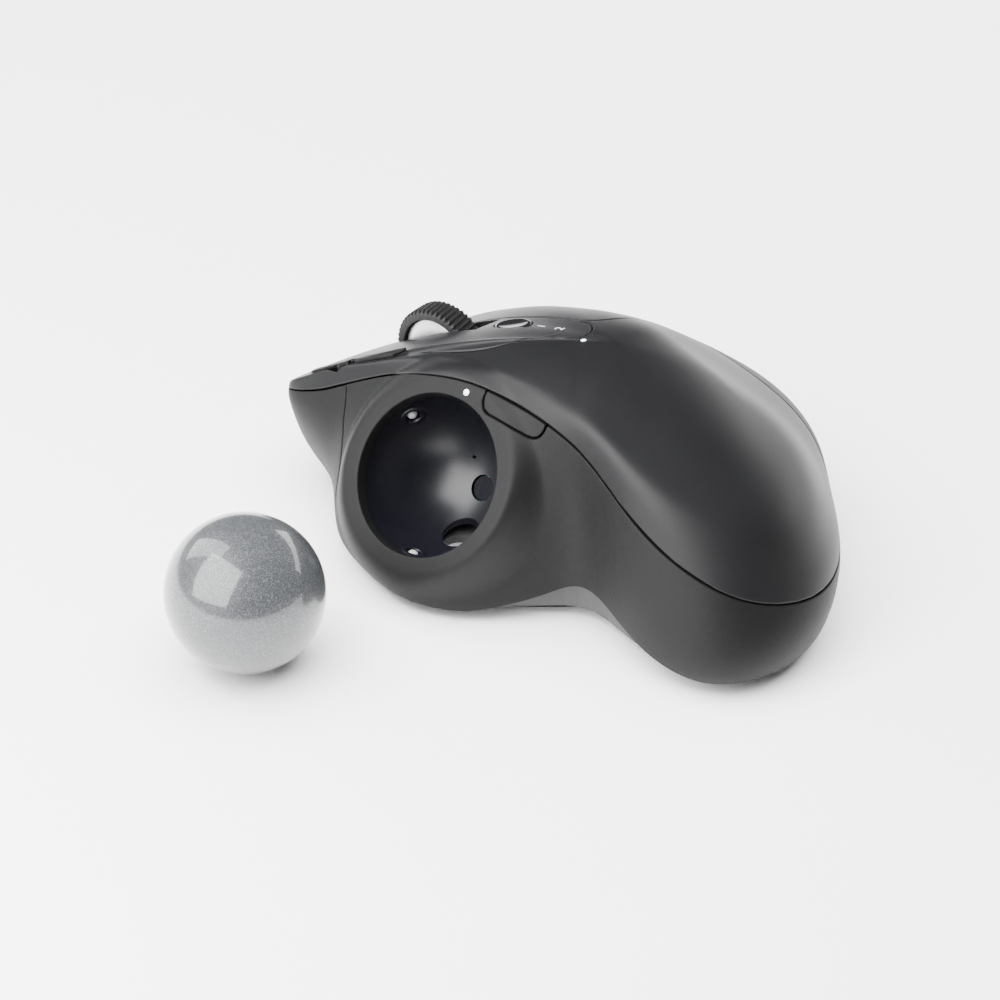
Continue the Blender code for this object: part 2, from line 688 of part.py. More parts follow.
def precision_patch(name, depths, trim, collection=None):
    """Rounded key shape under the palm seam, as a button or as its cutter."""
    share = np.linspace(-1.0, 1.0, 11)[:, None]
    down = np.linspace(-1.0, 1.0, 7)[None, :]
    along = share * (1 - 0.10 * down**4)
    across = down * (1 - 0.22 * share**6)
    turns = np.radians(PRECISION_ANGLE + 9.6 * along - 1.6 * across * (1 + 0.6 * share))
    reaches = edge_reach(RIM_SEAM, turns) + 0.029 + 0.029 * across
    obj = panel(name, turns, reaches, None if collection else "dark_plastic", depths, trim, collection)
    if collection:
        obj.hide_render = True
        obj.display_type = "WIRE"
    return obj


THUMB_LIGHT = MOUTH + (MOUTH_RADIUS + 2.0) * unit(np.array([0.583, -0.077, 0.809]))
BATTERY_LIGHT = place(-3.0, 2.6, 50.8)


def light_rod(bm, centre, axis, radius, length):
    """A small round rod along an axis, for a light pipe or its hole."""
    add_rod(bm, radius, length, centre, axis, 14)


def battery_light_hole(bm):
    """Hole for the battery light."""
    light_rod(bm, BATTERY_LIGHT, (0, 0, 1), 0.75, 12.0)


def light_pipes():
    """Two clear light pipes, one beside the ball and one behind the spine."""
    centre = THUMB_LIGHT - 1.0 * N
    built("thumb_light_pipe", "light_pipe", lambda bm: light_rod(bm, centre, N, 0.7, 1.9))
    below = BATTERY_LIGHT - np.array([0.0, 0.0, 1.2])
    built("battery_light_pipe", "light_pipe", lambda bm: light_rod(bm, below, (0, 0, 1), 0.45, 3.0))


# ---------------------------------------------------------------- bottom shell and base


def plug(name, inset, overlap, collection, material=None, sides=64):
    """Closed solid inside the skin, from a little above the thumb shell's lower edge straight down past the table."""
    turns = np.linspace(0.0, 2 * math.pi, sides, endpoint=False)
    top = edge_reach(LOWER_EDGE, turns) - overlap
    rings = [skin(turns, top + (0.995 - top) * share, inset) for share in np.linspace(0.0, 1.0, 4)]
    below = rings[-1].copy()
    below[:, 2] = -8.0
    rings.append(below)
    ends = [(-4.0, -2.0, float(ring[:, 2].mean())) for ring in (rings[0], below)]
    return stacked(name, rings, ends[0], ends[1], material, collection)


def underside_prism(name, lift):
    """Everything above the V-shaped underside: level to the left of the hinge, rising to its right."""
    slope = math.tan(TILT)
    left, right, tall = -90.0, 90.0, 80.0
    level = UNDERSIDE + lift
    rise_at_hinge = HINGE[2] - HINGE_RISE / math.cos(TILT) + lift / math.cos(TILT)
    corner = HINGE[0] + (level - rise_at_hinge) / slope
    raised = level + (right - corner) * slope
    outline = [(left, level), (corner, level), (right, raised), (right, tall), (left, tall)]
    bm = bmesh.new()
    front, back = ([bm.verts.new((x, y, z)) for x, z in outline] for y in (110.0, -110.0))
    bm.faces.new(front)
    bm.faces.new(back[::-1])
    for i in range(len(outline)):
        j = (i + 1) % len(outline)
        bm.faces.new([front[j], front[i], back[i], back[j]])
    bmesh.ops.recalc_face_normals(bm, faces=bm.faces)
    obj = add_object(name, mesh_from(bm, name), None, CUTTERS)
    obj.hide_render = True
    obj.display_type = "WIRE"
    return obj


def floor_height(x):
    """Height of the tub's floor at a place to the left or right of the hinge."""
    level = UNDERSIDE + FLOOR
    rising = HINGE[2] + (FLOOR - HINGE_RISE) / math.cos(TILT) + (x - HINGE[0]) * math.tan(TILT)
    return max(level, rising)


def hinge_stations():
    """Places of the two hinge ears along the hinge."""
    return [place(0, 0)[1] + side * HINGE_SPACING / 2 - 3.0 for side in (-1, 1)]


def bottom_shell():
    """Tub that closes the body: V-shaped underside, hinge bosses and its holes."""
    shell = plug("bottom_shell", WALL + TUB_CLEARANCE, 0.07, PARTS, "inner_plastic")
    combine(shell, underside_prism("above_underside", 0.0), "INTERSECT")
    hollow = plug("tub_hollow", 2 * WALL + TUB_CLEARANCE, 0.10, CUTTERS)
    combine(hollow, underside_prism("above_floor", FLOOR), "INTERSECT")
    hollow.hide_render = True
    hollow.display_type = "WIRE"
    combine(shell, hollow)
    combine(shell, cutter("hinge_bosses", hinge_bosses), "UNION")
    combine(shell, cutter("ear_slots", ear_slots))
    combine(shell, cutter("pin_bores", pin_bores))
    combine(shell, cutter("underside_holes", underside_holes))
    combine(shell, cutter("bearing_pocket", bearing_pocket))
    return shell


def hinge_bosses(bm):
    """Blocks on the floor either side of each ear, which hold the pin."""
    for y in hinge_stations():
        for side in (-1, 1):
            centre_y = y + side * (EAR[1] / 2 + GAP + BOSS_WIDTH / 2)
            add_box(bm, (BOSS_LENGTH, BOSS_WIDTH, 5.4), (HINGE[0], centre_y, UNDERSIDE + FLOOR - 0.6 + 2.7))


def ear_slots(bm):
    """Slots for the ears through the floor."""
    for y in hinge_stations():
        add_box(bm, (EAR[0] + 4.0, EAR[1] + 2 * GAP, 16.0), (HINGE[0], y, UNDERSIDE))


def pin_bores(bm):
    """The pins' bores through the bosses."""
    length = 2 * (BOSS_WIDTH + GAP) + EAR[1] + 2.0
    for y in hinge_stations():
        add_rod(bm, PIN_RADIUS + GAP, length, (HINGE[0], y, HINGE[2]), (0, 1, 0), 16)


def bearing_pocket(bm):
    """Pocket in the floor under the lowest bearing's cap."""
    x, y, _ = SEAT + (BALL_RADIUS + 2 * BEARING_RADIUS + 1.0) * BEARINGS[1]
    add_rod(bm, CAP_RADIUS + 1.4, 8.0, (x, y, UNDERSIDE + 0.9 + 4.0), sides=20)


def underside_holes(bm):
    """The ball's ejector hole and the power slider's slot."""
    x, y = ejector_place()
    add_rod(bm, EJECT_RADIUS, 12.0, (x, y, UNDERSIDE), sides=32)
    sx, sy, _ = place(*SLIDER_PLACE)
    add_box(bm, (3.0 + 2 * GAP + SLIDER_TRAVEL, 4.0 + 2 * GAP, 12.0), (sx + SLIDER_TRAVEL / 2, sy, UNDERSIDE))


def ejector_place():
    """Where the ejector hole stands under the socket."""
    return SEAT[0] + 0.31 * SOCKET_RADIUS, SEAT[1] - 0.14 * SOCKET_RADIUS


def foot_outline(inset, sides=56):
    """Plan outline of the base, inside the body's foot."""
    turns = np.linspace(0.0, 2 * math.pi, sides, endpoint=False)
    ring = skin(turns, np.full(sides, 0.995), inset)
    return [(x, y) for x, y in ring[:, :2]]


def slab(name, outline, low, high, material):
    """Flat plate with a plan outline."""
    curve = bpy.data.curves.new(name, "CURVE")
    curve.dimensions = "2D"
    curve.fill_mode = "BOTH"
    curve.extrude = (high - low) / 2 * MM
    line = curve.splines.new("POLY")
    line.points.add(len(outline) - 1)
    for point, (x, y) in zip(line.points, outline):
        point.co = (x * MM, y * MM, 0.0, 1.0)
    line.use_cyclic_u = True
    guide = bpy.data.objects.new(name + "_outline", curve)
    guide.location.z = (high + low) / 2 * MM
    CUTTERS.objects.link(guide)
    bpy.context.view_layer.update()
    mesh = bpy.data.meshes.new_from_object(guide.evaluated_get(bpy.context.evaluated_depsgraph_get()))
    bm = bmesh.new()
    bm.from_mesh(mesh)
    bmesh.ops.remove_doubles(bm, verts=bm.verts, dist=1e-6)
    bmesh.ops.recalc_face_normals(bm, faces=bm.faces)
    bm.to_mesh(mesh)
    bm.free()
    obj = bpy.data.objects.new(name, mesh)
    obj.matrix_world = guide.matrix_world
    bpy.data.objects.remove(guide)
    mesh.materials.clear()
    mesh.materials.append(finish(material))
    PARTS.objects.link(obj)
    return obj


def base():
    """Steel plate with two hinge ears, and the rubber pad under it."""
    plate = slab("base_plate", foot_outline(6.0), PAD_THICKNESS + GAP, PLATE_TOP, "steel")
    combine(plate, cutter("ear_posts", ear_posts), "UNION")
    combine(plate, cutter("ear_eyes", ear_eyes), "UNION")
    combine(plate, cutter("ear_bores", ear_bores))
    pad = slab("base_pad", foot_outline(7.5), 0.0, PAD_THICKNESS, "rubber")
    for piece in (plate, pad):
        combine(piece, cutter(piece.name + "_holes", base_holes))


def ear_posts(bm):
    """Straight part of the ears."""
    height = HINGE[2] - PLATE_TOP
    for y in hinge_stations():
        add_box(bm, (EAR[0], EAR[1], height + 0.5), (HINGE[0], y, PLATE_TOP + height / 2 - 0.25))


def ear_eyes(bm):
    """Round tops of the ears."""
    for y in hinge_stations():
        add_rod(bm, EAR[0] / 2, EAR[1], (HINGE[0], y, HINGE[2]), (0, 1, 0), 24)


def ear_bores(bm):
    """Bores of the ears round the pin."""
    for y in hinge_stations():
        add_rod(bm, PIN_RADIUS + GAP, EAR[1] + 2.0, (HINGE[0], y, HINGE[2]), (0, 1, 0), 16)


def base_holes(bm):
    """Ejector hole and slider window through the base."""
    x, y = ejector_place()
    add_rod(bm, EJECT_RADIUS + 1.0, 8.0, (x, y, PAD_THICKNESS), sides=32)
    sx, sy, _ = place(*SLIDER_PLACE)
    add_box(bm, (SLIDER_TRAVEL + 6.0, 7.0, 8.0), (sx + SLIDER_TRAVEL / 2, sy, PAD_THICKNESS))


def rod(name, radius, length, centre, axis, material, sides=16):
    """A round part along an axis."""
    return built(name, material, lambda bm: add_rod(bm, radius, length, centre, axis, sides))


def hinge_pins():
    """Steel pins through the bosses and ears."""
    length = 2 * BOSS_WIDTH + EAR[1] + 2 * GAP
    for name, y in zip(("rear_hinge_pin", "front_hinge_pin"), hinge_stations()):
        rod(name, PIN_RADIUS, length, (HINGE[0], y, HINGE[2]), (0, 1, 0), "steel")


def power_slider():
    """On-off slider: a knob through the floor under a flange."""
    x, y, _ = place(*SLIDER_PLACE)
    knob_top = UNDERSIDE + FLOOR + GAP

    def fill(bm):
        add_box(bm, (3.0, 4.0, knob_top - UNDERSIDE - 0.2 + 0.5), (x, y, (knob_top + 0.5 + UNDERSIDE + 0.2) / 2))

    def flange(bm):
        add_box(bm, (SLIDER_TRAVEL + 7.0, 7.0, 1.0), (x, y, knob_top + 0.5))

    slider = built("power_slider", "gloss_black", fill)
    combine(slider, cutter("slider_flange", flange), "UNION")


# ---------------------------------------------------------------- ball and socket


def socket_direction(polar, turn):
    """Unit vector from the seat, by degrees from the socket's depth and round its axis from the front."""
    forward = unit(np.array([0.0, 1.0, 0.0]) - N[1] * N)
    side = np.cross(N, forward)
    angle, around = math.radians(polar), math.radians(turn)
    return -math.cos(angle) * N + math.sin(angle) * (math.cos(around) * forward + math.sin(around) * side)


BEARINGS = [socket_direction(74.0, turn) for turn in (-33.0, 87.0, 207.0)]
SENSOR = socket_direction(3.0, -156.0)
SENSOR_RADIUS = 2.6
CAP_RADIUS = 2.1
CAP_THICKNESS = 0.8
CUP_DROP = 1.3


def ball():
    """The ball, lying on the table beside the body."""
    x, y, _ = place(*BALL_ON_TABLE)
    built("ball", "ball_lacquer", lambda bm: add_ball(bm, BALL_RADIUS, (x, y, BALL_RADIUS), 32))


def ball_cup():
    """Spherical socket, bored for bearings, sensor and ejector, which ends a little below the shell."""
    top = SEAT_DEPTH - WALL - GAP - CUP_DROP
    profile = []
    for radius, order in ((SOCKET_RADIUS + SOCKET_WALL, 1), (SOCKET_RADIUS, -1)):
        angles = np.linspace(0.0, math.acos(-top / radius), 10)[::order]
        profile += [(radius * math.sin(a), -radius * math.cos(a)) for a in angles]
    cup = turned("ball_cup", profile, SEAT, N, "cup_plastic", 32)
    combine(cup, cutter("cup_holes", cup_holes))
    return cup


def cup_holes(bm):
    """Bores for the three bearings and the sensor window, and the ejector hole."""
    reach = SOCKET_RADIUS + SOCKET_WALL / 2
    for direction in BEARINGS:
        add_rod(bm, BEARING_RADIUS + GAP, 6.0, SEAT + reach * direction, direction, 16)
    add_rod(bm, SENSOR_RADIUS + GAP, 6.0, SEAT + reach * SENSOR, SENSOR, 24)
    x, y = ejector_place()
    add_rod(bm, EJECT_RADIUS, 12.0, (x, y, SEAT[2] - SOCKET_RADIUS), sides=32)


def cup_fittings():
    """Bearing balls, their backing caps, the sensor's window and its little board."""

    for place_name, direction in zip(("front", "lower", "rear"), BEARINGS):
        centre = SEAT + (BALL_RADIUS + GAP + BEARING_RADIUS) * direction
        built(f"{place_name}_bearing", "bearing_ceramic", lambda bm, c=centre: add_ball(bm, BEARING_RADIUS, c, 12))
        behind = SEAT + (BALL_RADIUS + 2 * GAP + 2 * BEARING_RADIUS + CAP_THICKNESS / 2) * direction
        rod(f"{place_name}_bearing_cap", CAP_RADIUS, CAP_THICKNESS, behind, direction, "inner_plastic")
    rod("sensor_window", SENSOR_RADIUS, 1.6, SEAT + (SOCKET_RADIUS + 1.1) * SENSOR, SENSOR, "sensor_glass", 24)

    def board(bm):
        distance = SOCKET_RADIUS + SOCKET_WALL + 1.2
        matrix = Matrix.Translation(Vector(SEAT + distance * SENSOR)) @ facing(SENSOR)
        add_box(bm, (16.0, 12.0, 1.2), (0, 0, 0))
        bmesh.ops.transform(bm, matrix=matrix, verts=bm.verts)

    built("sensor_board", "circuit_board", board)


# ---------------------------------------------------------------- scroll wheel


def wheel():
    """Ribbed tread on a metal rim with two side discs, and the axle."""
    half = WHEEL_WIDTH / 2
    inner = WHEEL_RADIUS - TREAD
    ribs = 36

    def tread(bm):
        points = []
        for i in range(2 * ribs):
            radius = WHEEL_RADIUS - (0.45 if i % 2 else 0.0)
            angle = math.pi * i / ribs
            points.append((radius * math.cos(angle), radius * math.sin(angle)))
        sides = {}
        for x in (-half, half):
            sides[x] = [bm.verts.new((x, a, b)) for a, b in points]
            sides[x, "in"] = [
                bm.verts.new((x, a * inner / math.hypot(a, b), b * inner / math.hypot(a, b))) for a, b in points
            ]
        for i in range(2 * ribs):
            j = (i + 1) % (2 * ribs)
            bm.faces.new([sides[half][i], sides[half][j], sides[-half][j], sides[-half][i]])
            right, left = sides[half, "in"], sides[-half, "in"]
            bm.faces.new([right[j], right[i], left[i], left[j]])
            for x in (-half, half):
                bm.faces.new([sides[x][i], sides[x][j], sides[x, "in"][j], sides[x, "in"][i]])
        bmesh.ops.recalc_face_normals(bm, faces=bm.faces)
        bmesh.ops.translate(bm, vec=Vector(WHEEL), verts=bm.verts)

    built("wheel_tread", "rubber", tread)
    rim = inner - GAP
    bore = AXLE_RADIUS + GAP
    edge = 0.8
    profile = [(bore, -half), (rim - edge, -half), (rim, edge - half)]
    profile += [(rim, half - edge), (rim - edge, half), (bore, half)]
    turned("wheel_rim", profile, WHEEL, (1, 0, 0), "wheel_metal", 40)
    rod("wheel_axle", AXLE_RADIUS, YOKE_SPAN + 4.4, WHEEL, (1, 0, 0), "steel", 16)


def wheel_yoke():
    """U-shaped fork that carries the axle in open slots and gives way when the wheel is pressed."""
    bottom = WHEEL[2] - WHEEL_RADIUS - 1.2
    top = WHEEL[2] + 0.5
    slot = 2 * (AXLE_RADIUS + GAP)

    def plates(bm):
        for side in (-1, 1):
            x = WHEEL[0] + side * (YOKE_SPAN / 2 + YOKE_PLATE / 2)
            add_box(bm, (YOKE_PLATE, 4.6, top - bottom + 1.0), (x, WHEEL[1], (top + bottom - 1.0) / 2))

    def bar(bm):
        add_box(bm, (YOKE_SPAN + 2 * YOKE_PLATE, 4.6, 1.8), (WHEEL[0], WHEEL[1], bottom - 0.9))

    yoke = built("wheel_yoke", "inner_plastic", bar)
    combine(yoke, cutter("yoke_plates", plates), "UNION")
    above = WHEEL + np.array([0.0, 0.0, 2.0])
    combine(yoke, cutter("axle_bores", lambda bm: add_rod(bm, slot / 2, 40.0, WHEEL, (1, 0, 0), 16)))
    combine(yoke, cutter("axle_slots", lambda bm: add_box(bm, (40.0, slot, 4.0), above)))


def wheel_carriage():
    """Frame round the yoke that rocks from side to side on two pivot pins."""
    z = WHEEL[2] - PIVOT_DROP
    outer_x = YOKE_SPAN / 2 + YOKE_PLATE + 1.7
    size = (2 * outer_x, 2 * FRAME_REACH + 2.4, 2.0)
    frame = box("wheel_carriage", size, (WHEEL[0], WHEEL[1], z), "inner_plastic")

    def hole(bm):
        add_box(bm, (2 * outer_x - 2.4, 2 * FRAME_REACH, 6.0), (WHEEL[0], WHEEL[1], z))

    def pins(bm):
        for side in (-1, 1):
            y = WHEEL[1] + side * (FRAME_REACH + 1.2 + 0.9)
            add_rod(bm, 0.8, 2.2, (WHEEL[0], y, z), (0, 1, 0), 14)

    combine(frame, cutter("carriage_window", hole))
    combine(frame, cutter("carriage_pins", pins), "UNION")


def wheel_posts():
    """Posts on the floor that hold the carriage's pins; the front one stands back from the sloping nose."""
    z = WHEEL[2] - PIVOT_DROP
    low = UNDERSIDE + FLOOR + GAP
    reach = FRAME_REACH + 1.2 + GAP + 0.7
    shelf = z - 7.0
    posts = []
    for name, side, foot in (("rear_wheel_post", -1, low), ("front_wheel_post", 1, shelf)):
        centre = (WHEEL[0], WHEEL[1] + side * reach, (z + 2.2 + foot) / 2)
        posts.append(box(name, (7.0, 1.4, z + 2.2 - foot), centre, "inner_plastic"))
    rear, front = posts
    leg_y = WHEEL[1] + POST_SETBACK
    leg = (7.0, 1.8, shelf + 1.0 - low)
    ledge = (7.0, reach - POST_SETBACK + 1.2, 1.6)
    ledge_y = WHEEL[1] + (reach + POST_SETBACK) / 2
    for name, size, y, height in (
        ("post_leg", leg, leg_y, (shelf + 1.0 + low) / 2),
        ("post_shelf", ledge, ledge_y, shelf + 0.8),
    ):
        block = cutter(name, lambda bm, size=size, y=y, h=height: add_box(bm, size, (WHEEL[0], y, h)))
        combine(front, block, "UNION")
    for post, side in ((rear, -1), (front, 1)):
        centre = (WHEEL[0], WHEEL[1] + side * reach, z)
        bore = cutter(post.name + "_bore", lambda bm, c=centre: add_rod(bm, 0.8 + GAP, 3.0, c, (0, 1, 0), 14))
        combine(post, bore)


def encoder():
    """Small wheel encoder beside the yoke, on the right."""
    x, y, z = WHEEL + np.array([YOKE_SPAN / 2 + YOKE_PLATE + 4.0, 0.0, -5.5])
    box("wheel_encoder", (3.6, 7.0, 7.0), (x, y, z), "inner_plastic", 0.3)


# ---------------------------------------------------------------- inside


def boards():
    """Main board, switch board and what they carry."""
    floor = UNDERSIDE + FLOOR
    x, y, _ = place(8.0, -12.0)
    middle = floor + 11.0
    box("main_board", (30.0, 44.0, 1.6), (x, y, middle), "circuit_board")
    for name, sign in (("radio_chip", 1), ("power_chip", -1)):
        centre = (x + 2.0, y + sign * 10.0, middle + 0.8 + GAP + 0.6)
        box(name, (7.0, 7.0, 1.2), centre, "gloss_black")
    corners = {"rear_left": (-12, -19), "rear_right": (-3, -19), "front_left": (-12, 19), "front_right": (-3, 19)}
    for name, (dx, dy) in corners.items():
        foot = floor_height(x + dx + 2.0) + GAP
        top = middle - 0.8 - GAP
        centre = (x + dx, y + dy, (top + foot) / 2)
        rod(f"{name}_board_post", 2.0, top - foot, centre, (0, 0, 1), "inner_plastic", 12)
    bx, by, _ = place(-15.0, -20.5)
    box("battery", (17.0, 28.0, 6.0), (bx, by, floor + GAP + 4.4), "battery_wrap", 0.8)
    px, py, _ = place(13.0, 60.0)
    box("charge_port", (8.0, 6.0, 3.0), (px, py - 5.0, PORT_HEIGHT), "steel", 0.4)


def button_switches():
    """Micro switches below the main buttons, each on its own stand."""
    for name, x, y in (("left_switch", -12.8, 44.0), ("right_switch", 18.0, 40.0)):
        px, py, _ = place(x, y)
        corners = [(x + dx, y + dy) for dx in (-3.5, 3.5) for dy in (-5.5, 5.5)]
        top = float(skin(*from_disc(locate(corners)), WALL)[:, 2].min()) - 1.2
        low = floor_height(px + 2.5) + GAP
        box(name, (6.0, 10.0, 5.5), (px, py, top - 2.75), "gloss_black", 0.3)
        stand_top = top - 5.5 - GAP
        box(name + "_stand", (5.0, 8.0, stand_top - low), (px, py, (stand_top + low) / 2), "inner_plastic")


def magnets():
    """Disc magnets on the floor that hold the tilt at either end."""
    z = UNDERSIDE + FLOOR + GAP + 1.0
    for name, x, y in (("front_magnet", -21.5, 36.5), ("rear_magnet", -24.0, -40.0)):
        px, py, _ = place(x, y)
        rod(name, 4.0, 2.0, (px, py, z), (0, 0, 1), "steel", 20)


# Where each moving piece's axis passes, as drawing points except where a piece gives its own
BUTTON_HINGES = {"left_button": (-10.0, 13.5, 45.0), "right_button": (15.0, 5.0, 45.5)}
KEY_PLACES = {"forward_button": (-20.0, 57.0, 29.5), "back_button": (-18.5, 47.0, 34.5)}
ARC_AXIS = (0.1671, 0.9658, 0.1984)


def ball_arc_centre():
    """Centre of the arc from the ball's seat, along the mouth's axis, to its place on the table."""
    x, y, _ = place(*BALL_ON_TABLE)
    axis = unit(np.array(ARC_AXIS))
    chord = np.array([x, y, BALL_RADIUS]) - SEAT
    inwards = unit(np.cross(axis, N))
    return SEAT + inwards * (chord @ chord) / (2 * (chord @ inwards))


def precision_place():
    """Middle of the precision button, on the skin."""
    turns = np.radians([PRECISION_ANGLE])
    return skin(turns, edge_reach(RIM_SEAM, turns) + 0.029)[0]


def axis_empty(name, point, parent, nodes):
    """An empty on a joint's axis that carries the pieces that move together."""
    empty = bpy.data.objects.new(name, None)
    empty.location = Vector(point) * MM
    PARTS.objects.link(empty)
    if parent:
        empty.parent = parent
        empty.matrix_parent_inverse = Matrix.Translation(-parent.location)
    for node in nodes:
        piece = bpy.data.objects[node]
        piece.parent = empty
        piece.matrix_parent_inverse = Matrix.Translation(-Vector(point) * MM)
    return empty


def parent_to_axes():
    """Hang every moving piece on an empty on its joint's axis; the base stays fixed."""
    moving = {name: place(*point) for name, point in (*BUTTON_HINGES.items(), *KEY_PLACES.items())}
    moving["mode_button"] = skin(*from_disc(locate([MODE_PLACE])))[0]
    moving["precision_button"] = precision_place()
    x, y, _ = place(*SLIDER_PLACE)
    moving["power_slider"] = (x, y, UNDERSIDE)
    moving["ball"] = ball_arc_centre()
    wheel_nodes = ["wheel_tread", "wheel_rim", "wheel_axle"]
    apart = {*moving, *wheel_nodes, "wheel_yoke", "wheel_carriage", "base_plate", "base_pad"}
    fixed = [obj.name for obj in PARTS.objects if obj.name not in apart]
    body = axis_empty("tilt_axis", HINGE, None, fixed)
    for name, point in moving.items():
        axis_empty(name + "_axis", point, body, [name])
    rocker = axis_empty("wheel_tilt_axis", WHEEL - np.array([0.0, 0.0, PIVOT_DROP]), body, ["wheel_carriage"])
    press = axis_empty("wheel_press_axis", WHEEL, rocker, ["wheel_yoke"])
    axis_empty("wheel_spin_axis", WHEEL, press, wheel_nodes)


def build():
    """Every piece of the mouse."""
    palm_cover()
    main_buttons()
    side_key("forward_button", 0.52, 0.86)
    side_key("back_button", 0.04, 0.46)
    spine_strip()
    mode_button()
    front_bezel()
    thumb_shell()
    precision_patch("precision_button", (0.0, WALL), SEAM)
    light_pipes()
    bottom_shell()
    base()
    hinge_pins()
    power_slider()
    ball()
    ball_cup()
    cup_fittings()
    wheel()
    wheel_yoke()
    wheel_carriage()
    wheel_posts()
    encoder()
    boards()
    button_switches()
    magnets()
    parent_to_axes()


build()
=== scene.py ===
"""Finished model of a thumb trackball mouse, its ball taken out and laid beside it.

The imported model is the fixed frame. Its outer pieces are made again here as fine surfaces over the same skin,
in millimetres, with +Z up, +Y towards the main buttons and +X to the right; meshes are written in metres.
"""

import json
import logging
import math
from dataclasses import dataclass, field
from enum import Enum
from typing import Optional, Sequence, Union

import bmesh
import bpy
import numpy as np
from mathutils import Matrix, Vector


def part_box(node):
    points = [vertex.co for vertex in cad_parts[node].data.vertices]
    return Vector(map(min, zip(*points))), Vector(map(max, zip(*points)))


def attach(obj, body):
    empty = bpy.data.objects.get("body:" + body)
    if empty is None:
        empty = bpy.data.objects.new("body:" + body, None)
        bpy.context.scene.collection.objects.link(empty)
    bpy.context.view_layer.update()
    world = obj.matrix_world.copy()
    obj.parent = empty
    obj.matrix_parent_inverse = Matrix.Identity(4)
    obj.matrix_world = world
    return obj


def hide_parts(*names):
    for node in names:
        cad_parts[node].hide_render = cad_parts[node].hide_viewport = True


Array = np.ndarray
Colour = tuple[float, float, float]
MM = 0.001
SAME = 1e-7
LOG = logging.getLogger("trackball")


def unit(vectors: Array) -> Array:
    """Vectors divided by their lengths, along the last axis."""
    return vectors / np.maximum(np.linalg.norm(vectors, axis=-1, keepdims=True), 1e-12)


# ---------------------------------------------------------------- finishes


class Texture(Enum):
    """Ways in which a surface is worked."""

    GRAIN = "grain"
    SPARK = "spark"
    FLAKE = "flake"
    BRUSHED = "brushed"
    BOARD = "board"
    POLISHED = "polished"


@dataclass(frozen=True)
class Finish:
    """A finish: its colour, gloss and surface texture, with the texture's size and depth in millimetres."""

    slot: str
    colour: Colour
    roughness: float
    texture: Texture
    size: float = 0.3
    depth: float = 0.02
    metallic: float = 0.0
    coat: float = 0.0
    mottle: float = 0.10
    glow: float = 0.0
    specular: float = 0.5


FINISHES = {
    finish.slot: finish
    for finish in (
        Finish(
            "soft_touch", (0.0055, 0.0055, 0.006), 0.44, Texture.GRAIN, 0.22, 0.01,
            mottle=0.16, specular=0.26,
        ),
        Finish(
            "button_plastic", (0.008, 0.008, 0.0088), 0.42, Texture.GRAIN, 0.2, 0.008,
            mottle=0.12, specular=0.34,
        ),
        Finish(
            "dark_plastic", (0.0048, 0.0048, 0.005), 0.52, Texture.SPARK, 0.45, 0.03,
            mottle=0.3, specular=0.18,
        ),
        Finish("cup_plastic", (0.0040, 0.0040, 0.0062), 0.34, Texture.GRAIN, 0.15, 0.004, mottle=0.10),
        Finish("gloss_black", (0.006, 0.006, 0.007), 0.08, Texture.POLISHED, 0.6, 0.002),
        Finish("ball_lacquer", (0.042, 0.044, 0.047), 0.44, Texture.FLAKE, 0.16, 0.0, metallic=0.2, coat=1.0),
        Finish("rubber", (0.0050, 0.0050, 0.0050), 0.62, Texture.GRAIN, 0.25, 0.020, mottle=0.25),
        Finish("wheel_metal", (0.60, 0.60, 0.61), 0.34, Texture.BRUSHED, 0.12, 0.004, metallic=0.9),
        Finish("steel", (0.42, 0.42, 0.43), 0.34, Texture.BRUSHED, 0.15, 0.006, metallic=1.0),
        Finish("bearing_ceramic", (0.30, 0.30, 0.30), 0.07, Texture.POLISHED, 0.4, 0.001, coat=1.0),
        Finish("light_pipe", (0.80, 0.86, 0.82), 0.30, Texture.POLISHED, 0.3, 0.002, glow=1.5),
        Finish("circuit_board", (0.010, 0.070, 0.030), 0.38, Texture.BOARD, 1.2, 0.030),
        Finish("battery_wrap", (0.05, 0.07, 0.12), 0.32, Texture.POLISHED, 2.0, 0.010),
        Finish("sensor_glass", (0.010, 0.010, 0.013), 0.06, Texture.POLISHED, 0.5, 0.001, coat=1.0),
        Finish("inner_plastic", (0.035, 0.035, 0.036), 0.50, Texture.SPARK, 0.5, 0.020, mottle=0.20),
        Finish("print", (0.42, 0.42, 0.42), 0.60, Texture.GRAIN, 0.2, 0.004),
        Finish("floor", (0.86, 0.86, 0.86), 0.80, Texture.GRAIN, 2.0, 0.010, mottle=0.01),
    )
}


class Wire:
    """A shader socket that takes arithmetic: each operator adds one Math node."""

    def __init__(self, graph: "Graph", socket: bpy.types.NodeSocket) -> None:
        """Wraps an output socket of a graph."""
        self.graph = graph
        self.socket = socket

    def maths(self, operation: str, *values: Union["Wire", float]) -> "Wire":
        """The result of one Math node over the given values.

        Args:
            operation: the node's operation.
            values: wires or numbers, by input.

        Returns:
            The node's value.
        """
        node = self.graph.node("ShaderNodeMath", {"operation": operation}, dict(enumerate(values)))
        return Wire(self.graph, node.outputs[0])

    def __add__(self, other: Union["Wire", float]) -> "Wire":
        """Sum."""
        return self.maths("ADD", self, other)

    __radd__ = __add__

    def __mul__(self, other: Union["Wire", float]) -> "Wire":
        """Product."""
        return self.maths("MULTIPLY", self, other)

    __rmul__ = __mul__

    def __sub__(self, other: Union["Wire", float]) -> "Wire":
        """Difference."""
        return self.maths("SUBTRACT", self, other)

    def __rsub__(self, other: float) -> "Wire":
        """Difference from a number."""
        return self.maths("SUBTRACT", other, self)

    def __pow__(self, power: float) -> "Wire":
        """Power."""
        return self.maths("POWER", self, power)

    def above(self, level: float) -> "Wire":
        """1 where the value is over the level, 0 elsewhere."""
        return self.maths("GREATER_THAN", self, level)


